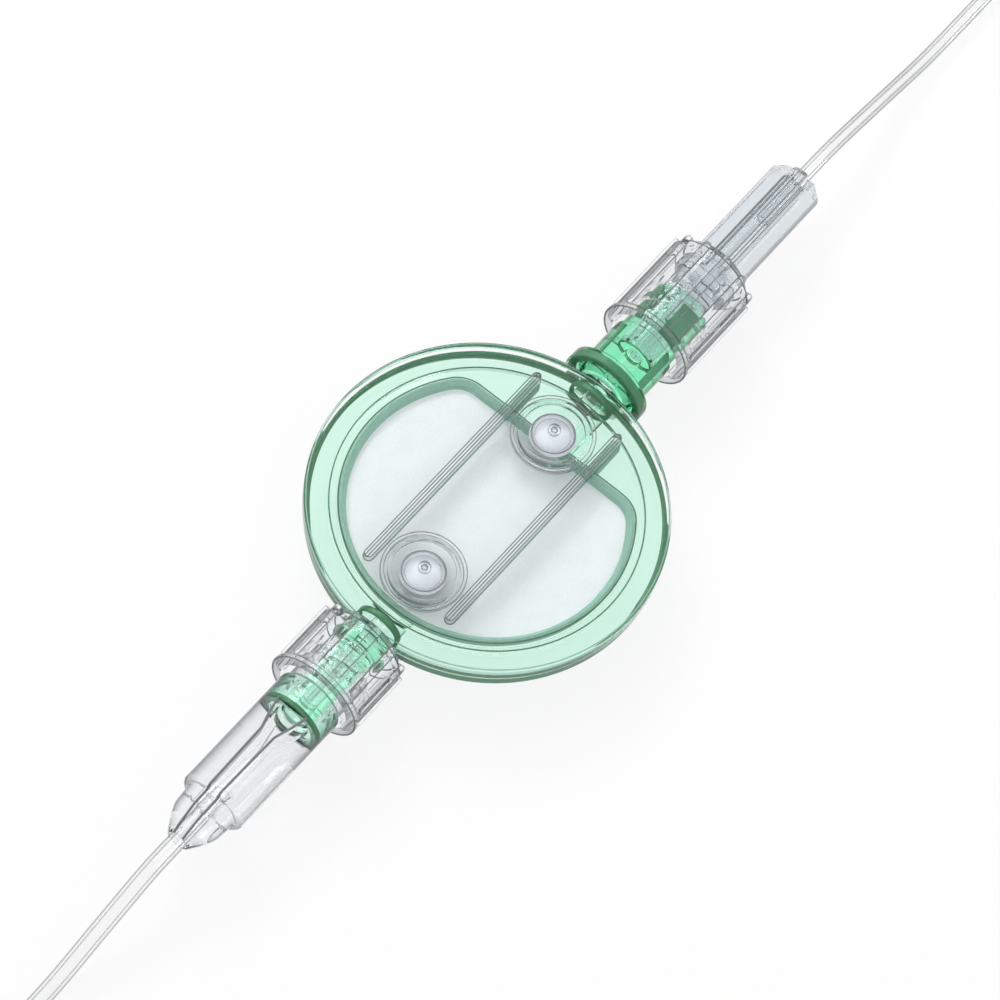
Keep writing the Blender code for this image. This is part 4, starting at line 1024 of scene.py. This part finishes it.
piece("painted_channel_lines", painted_channel_lines(), "outlet_connector", painted_shade_grey)
collar_ends = (("inlet", INLET_COLLAR_MOUTH, INLET_COLLAR_BACK),
               ("outlet", OUTLET_COLLAR_MOUTH, OUTLET_COLLAR_BACK))
for label, mouth, back in collar_ends:
    piece(label + "_painted_collar_lines", painted_lip_lines(mouth, back), label + "_collar", painted_shade_grey)
for label, mouth, back in collar_ends:
    piece(label + "_painted_collar_rib_feet", painted_collar_lines(mouth, back), label + "_collar", painted_pale_shade)
piece("outlet_mouth_liner", mouth_liner(), "outlet_connector", green)
# Painted shade: a dark ring at the bottom of the outlet connector's mouth
piece("outlet_mouth_shade_ring", bead_ring(BODY_RADIUS - 0.4 * MM, 0.5 * MM, 0.6 * MM,
                                     OUTLET_MOUTH - LUER_DEPTH + 0.1 * MM, "X"),
      "outlet_connector", deep_green)


def smooth_share(value, span):
    t = min(1, max(0, (value - span[0]) / (span[1] - span[0])))
    return t * t * (3 - 2 * t)


def smooth_route(points, spacing):
    """Points along a smooth curve through the given ones."""
    route = [Vector(point) for point in points]
    padded = [2 * route[0] - route[1]] + route + [2 * route[-1] - route[-2]]
    curve = []
    for index in range(1, len(padded) - 2):
        before, start, end, after = padded[index - 1:index + 3]
        pieces = max(1, round((end - start).length / spacing))
        for step in range(pieces):
            t = step / pieces
            curve.append(0.5 * (2 * start + (end - before) * t
                                + (2 * before - 5 * start + 4 * end - after) * t ** 2
                                + (3 * start - before - 3 * end + after) * t ** 3))
    curve.append(route[-1])
    return curve


def tie(side, exit_x, lead, diameter):
    """A film band round both turns of the coil, bent with them."""
    outer_turn = COIL_INNER_TURN + diameter + COIL_TURN_GAP
    middle = (COIL_INNER_TURN + outer_turn) / 2
    half = diameter + COIL_TURN_GAP / 2 + 0.03 * MM
    height = diameter / 2 + TIE_THICKNESS
    walls = []
    for grown in (TIE_THICKNESS - 0.02 * MM, 0):
        outline = stadium(-half - grown, half + grown, diameter + 0.04 * MM + 2 * grown)
        rings = []
        for step in range(7):
            angle = TIE_ANGLE + TIE_WIDTH / middle * (step / 6 - 0.5)
            ring = []
            for across, up in outline:
                x = exit_x + lead + (middle + across) * math.cos(angle)
                y = outer_turn + (middle + across) * math.sin(angle)
                ring.append((DISC_X + side * x, side * y, height + up))
            rings.append(ring)
        walls.append(rings)
    return sleeve(*walls)


def placed_fitting(shape, side, place):
    if side < 0:
        bmesh.ops.rotate(shape, verts=shape.verts, cent=(0, 0, 0), matrix=Matrix.Rotation(math.pi, 3, "Z"))
    return moved(shape, place)


def grip_bars(start, end, radius, count, width, height):
    outline = stadium(start, end, width, 6)
    return stack([rolled(prism(outline, radius - OVERLAP, radius + height, 0.12 * MM), TURN * index / count)
                  for index in range(count)])


def female_end(diameter):
    """A female luer hub with lugs and grip bars, its tube socket at 0 and its mouth at +X."""
    bottom = FITTING_SOCKET + FIT
    mouth = bottom + 2 * FIT + LUER_DEPTH
    neck = mouth - FITTING_SOCKET
    body = turned([(0, 0), (0, FITTING_NECK), (bottom, FITTING_RADIUS), (neck, FITTING_RADIUS),
                   (neck, HUB_RADIUS), (mouth, HUB_RADIUS), (mouth, 0)], 96, "X", 0.15 * MM)
    tube = diameter / 2 + FIT
    bore = turned([(-OVERLAP, 0), (-OVERLAP, tube), (bottom - FIT, tube), (bottom - FIT, BORE),
                   (mouth - LUER_DEPTH, BORE), (mouth - LUER_DEPTH, luer(LUER_DEPTH)),
                   (mouth + OVERLAP, luer(-OVERLAP)), (mouth + OVERLAP, 0)], 64)
    bars = grip_bars(bottom, mouth - 1.2 * FITTING_SOCKET, 3.3 * MM, 8, 0.7 * MM, 0.35 * MM)
    return carved(body, (ADD, bars), (ADD, lugs(mouth)), (CUT, bore))


def male_end(diameter):
    """A one-piece male luer lock with grip bars on its skirt, its cone at +X."""
    wall = FITTING_SOCKET + 1.2 * MM
    mouth = wall + 6.2 * MM
    tip = mouth + 2 * FIT
    short = LUER_DEPTH - 0.5 * MM
    body = turned([(0, 0), (0, FITTING_NECK), (FITTING_SOCKET, FITTING_RADIUS),
                   (FITTING_SOCKET, SKIRT_RADIUS),
                   (mouth, SKIRT_RADIUS), (mouth, THREAD_ROOT), (wall, THREAD_ROOT),
                   (wall, luer(short - tip + wall) - FIT), (tip, luer(short) - FIT), (tip, 0)],
                  128, "X", 0.12 * MM)
    tube = diameter / 2 + FIT
    bore = turned([(-OVERLAP, 0), (-OVERLAP, tube), (FITTING_SOCKET, tube), (FITTING_SOCKET, BORE),
                   (tip + OVERLAP, BORE), (tip + OVERLAP, 0)], 64)
    bars = grip_bars(FITTING_SOCKET + 0.4 * MM, mouth - 0.5 * MM, 4.4 * MM, 16, 0.8 * MM, 0.3 * MM)
    return carved(body, (ADD, bars), (ADD, thread(wall, wall + 0.9 * MM, mouth - FIT)), (CUT, bore))


def line_route(side, exit_x, lead, diameter, fitting_height):
    """The line's middle from its socket down to the floor, round the coil and into its end fitting."""
    radius = diameter / 2
    floor = radius + TIE_THICKNESS - AXIS_HEIGHT
    outer_turn = COIL_INNER_TURN + diameter + COIL_TURN_GAP
    ring_outer = outer_turn + radius + COIL_TURN_GAP / 2
    ring_inner = COIL_INNER_TURN - radius - COIL_TURN_GAP / 2
    reach = math.sqrt(ring_outer ** 2 - (outer_turn - radius) ** 2)
    stretch = lead - reach - CORD_GAP
    points = [(exit_x - SOCKET_DEPTH + CORD_GAP, 0, 0), (exit_x, 0, 0)]
    points += [(exit_x + along * stretch, 0, down * floor) for along, down in SAG_ROUTE]
    points.append((exit_x + stretch, 0, floor))
    route = smooth_route(points, 0.8 * MM)
    centre = Vector((exit_x + lead, outer_turn, floor))
    tail_radius = ring_inner - CORD_GAP - radius
    wound = TAIL_START + math.pi / 2 + TURN
    steps = 110
    for step in range(steps + 1):
        angle = wound * step / steps
        turn = outer_turn + (COIL_INNER_TURN - outer_turn) * smooth_share(angle, (TURN - 1.2, TURN - 0.25))
        turn += (tail_radius - turn) * smooth_share(angle, (wound - 1.1, wound))
        place = angle - math.pi / 2
        route.append(centre + Vector((turn * math.cos(place), turn * math.sin(place), 0)))
    bend = centre + Vector((math.cos(TAIL_START), math.sin(TAIL_START), 0)) * (tail_radius - TAIL_BEND)
    steps = 16
    for step in range(1, steps + 1):
        share = step / steps
        angle = TAIL_START + (1.5 * math.pi - TAIL_START) * share
        point = bend + TAIL_BEND * Vector((math.cos(angle), math.sin(angle), 0))
        point.z = floor + (fitting_height - AXIS_HEIGHT - floor) * smooth_share(share, (0, 1))
        route.append(point)
    end = route[-1]
    route += [end + Vector((share * (FITTING_SOCKET - CORD_GAP), 0, 0)) for share in (0.5, 1)]
    return [Vector((DISC_X + side * p.x, side * p.y, AXIS_HEIGHT + p.z)) for p in route]


def tube_line(label, side, exit_x, lead, diameter, fitting_height, fitting):
    """One flexible line as a hollow tube, with its tie and the fitting on its end."""
    route = line_route(side, exit_x, lead, diameter, fitting_height)
    body = label + "_connector"
    line = piece(label + "_line", pipe(route, (diameter / 2, diameter / 2 - TUBE_WALL)), body, soft_clear,
                 [label + "_tube", label + "_coil", label + "_tube_end"], local=False)
    band = piece(label + "_tie", tie(side, exit_x, lead, diameter), body, tie_white, local=False)
    ending = piece(label + "_line_fitting", placed_fitting(fitting(diameter), side, route[-3]), body, clear,
                   label + "_end_fitting", local=False)


tube_line("inlet", 1, INLET_EXIT, INLET_LEAD, INLET_TUBE, 3.85 * MM, female_end)
tube_line("outlet", -1, -OUTLET_EXIT, OUTLET_LEAD, OUTLET_TUBE, 4.7 * MM, male_end)


# Studio
FLOOR_GLOW = 0.86


def seen_ray(finish):
    """1 for what the camera sees, straight or in gloss and glass."""
    path = finish.node("ShaderNodeLightPath")
    seen = Wire(finish.tree, path.outputs["Is Camera Ray"])
    for name in ("Is Glossy Ray", "Is Transmission Ray"):
        seen = seen + Wire(finish.tree, path.outputs[name])
    return seen.clipped()


def studio_floor():
    mesh = bpy.data.meshes.new("floor")
    mesh.from_pydata([(-3, -3, 0), (3, -3, 0), (3, 3, 0), (-3, 3, 0)], [], [(0, 1, 2, 3)])
    floor = bpy.data.objects.new("floor", mesh)
    bpy.context.scene.collection.objects.link(floor)
    finish = Finish("white_table")
    mesh.materials.append(finish.material)
    finish.set(Base_Color=(0.96, 0.96, 0.96, 1), Roughness=0.9, Specular_IOR_Level=0.1)
    bright = finish.node("ShaderNodeEmission", inputs={"Color": (1, 1, 1, 1), "Strength": 1.0})
    finish.surface(finish.node("ShaderNodeMixShader", inputs={
        0: seen_ray(finish) * FLOOR_GLOW, 1: finish.shader.outputs[0], 2: bright.outputs[0]}).outputs[0])
    return floor


def studio_world():
    world = bpy.data.worlds.new("studio")
    bpy.context.scene.world = world
    world.use_nodes = True
    finish = Finish("studio", world)
    direction = finish.node("ShaderNodeTexCoord").outputs["Generated"]
    height = finish.node("ShaderNodeSeparateXYZ", inputs={"Vector": direction}).outputs["Z"]
    stops = [(0.0, (0.2, 0.205, 0.21)), (0.25, (0.32, 0.325, 0.33)), (0.55, (0.66, 0.66, 0.665)),
             (1.0, (0.75, 0.75, 0.75))]
    ramp = finish.node("ShaderNodeValToRGB", {"stops": stops}, {"Fac": height})
    colour = finish.node("ShaderNodeMix", {"data_type": "RGBA"},
                         {"Factor": seen_ray(finish), 6: ramp.outputs[0], 7: (1, 1, 1, 1)})
    background = world.node_tree.nodes["Background"]
    finish.tree.links.new(colour.outputs[2], background.inputs["Color"])


def soft_box(name, place, aim, size, energy):
    data = bpy.data.lights.new(name, "AREA")
    data.shape = "RECTANGLE"
    data.size, data.size_y = size
    data.energy = energy
    lamp = bpy.data.objects.new(name, data)
    bpy.context.scene.collection.objects.link(lamp)
    lamp.location = place
    lamp.rotation_euler = (Vector(place) - Vector(aim)).to_track_quat("Z", "Y").to_euler()
    lamp.visible_glossy = False


def photo_camera(subject, azimuth, elevation, roll, width, right_by, up_by):
    """A long lens that takes in the given width at the subject, its middle off to the right and above."""
    back = Vector((math.sin(azimuth) * math.cos(elevation), -math.cos(azimuth) * math.cos(elevation),
                   math.sin(elevation)))
    level = Vector((math.cos(azimuth), math.sin(azimuth), 0))
    upright = back.cross(level)
    across = level * math.cos(roll) + upright * math.sin(roll)
    up = upright * math.cos(roll) - level * math.sin(roll)
    data = bpy.data.cameras.new("camera")
    data.lens = 200
    data.sensor_width = 36
    data.clip_start = 0.01
    data.clip_end = 20
    camera = bpy.data.objects.new("camera", data)
    bpy.context.scene.collection.objects.link(camera)
    place = Matrix((across, up, back)).transposed().to_4x4()
    distance = width * data.lens / data.sensor_width
    place.translation = subject + across * right_by + up * up_by + back * distance
    camera.matrix_world = place
    bpy.context.scene.camera = camera


studio_floor()
studio_world()
soft_box("window", place=(0.344, 0.48, 0.53), aim=(0.344, 0, 0), size=(0.5, 0.28), energy=3.8)
photo_camera(Vector((DISC_X, 0, AXIS_HEIGHT)), azimuth=math.radians(-64.9), elevation=math.radians(61.7),
             roll=math.radians(15.3), width=0.1, right_by=1.4 * MM, up_by=1.3 * MM)
light_paths = bpy.context.scene.cycles
light_paths.max_bounces = 32
light_paths.transmission_bounces = 32
light_paths.transparent_max_bounces = 32
bpy.context.scene.view_settings.view_transform = "Standard"
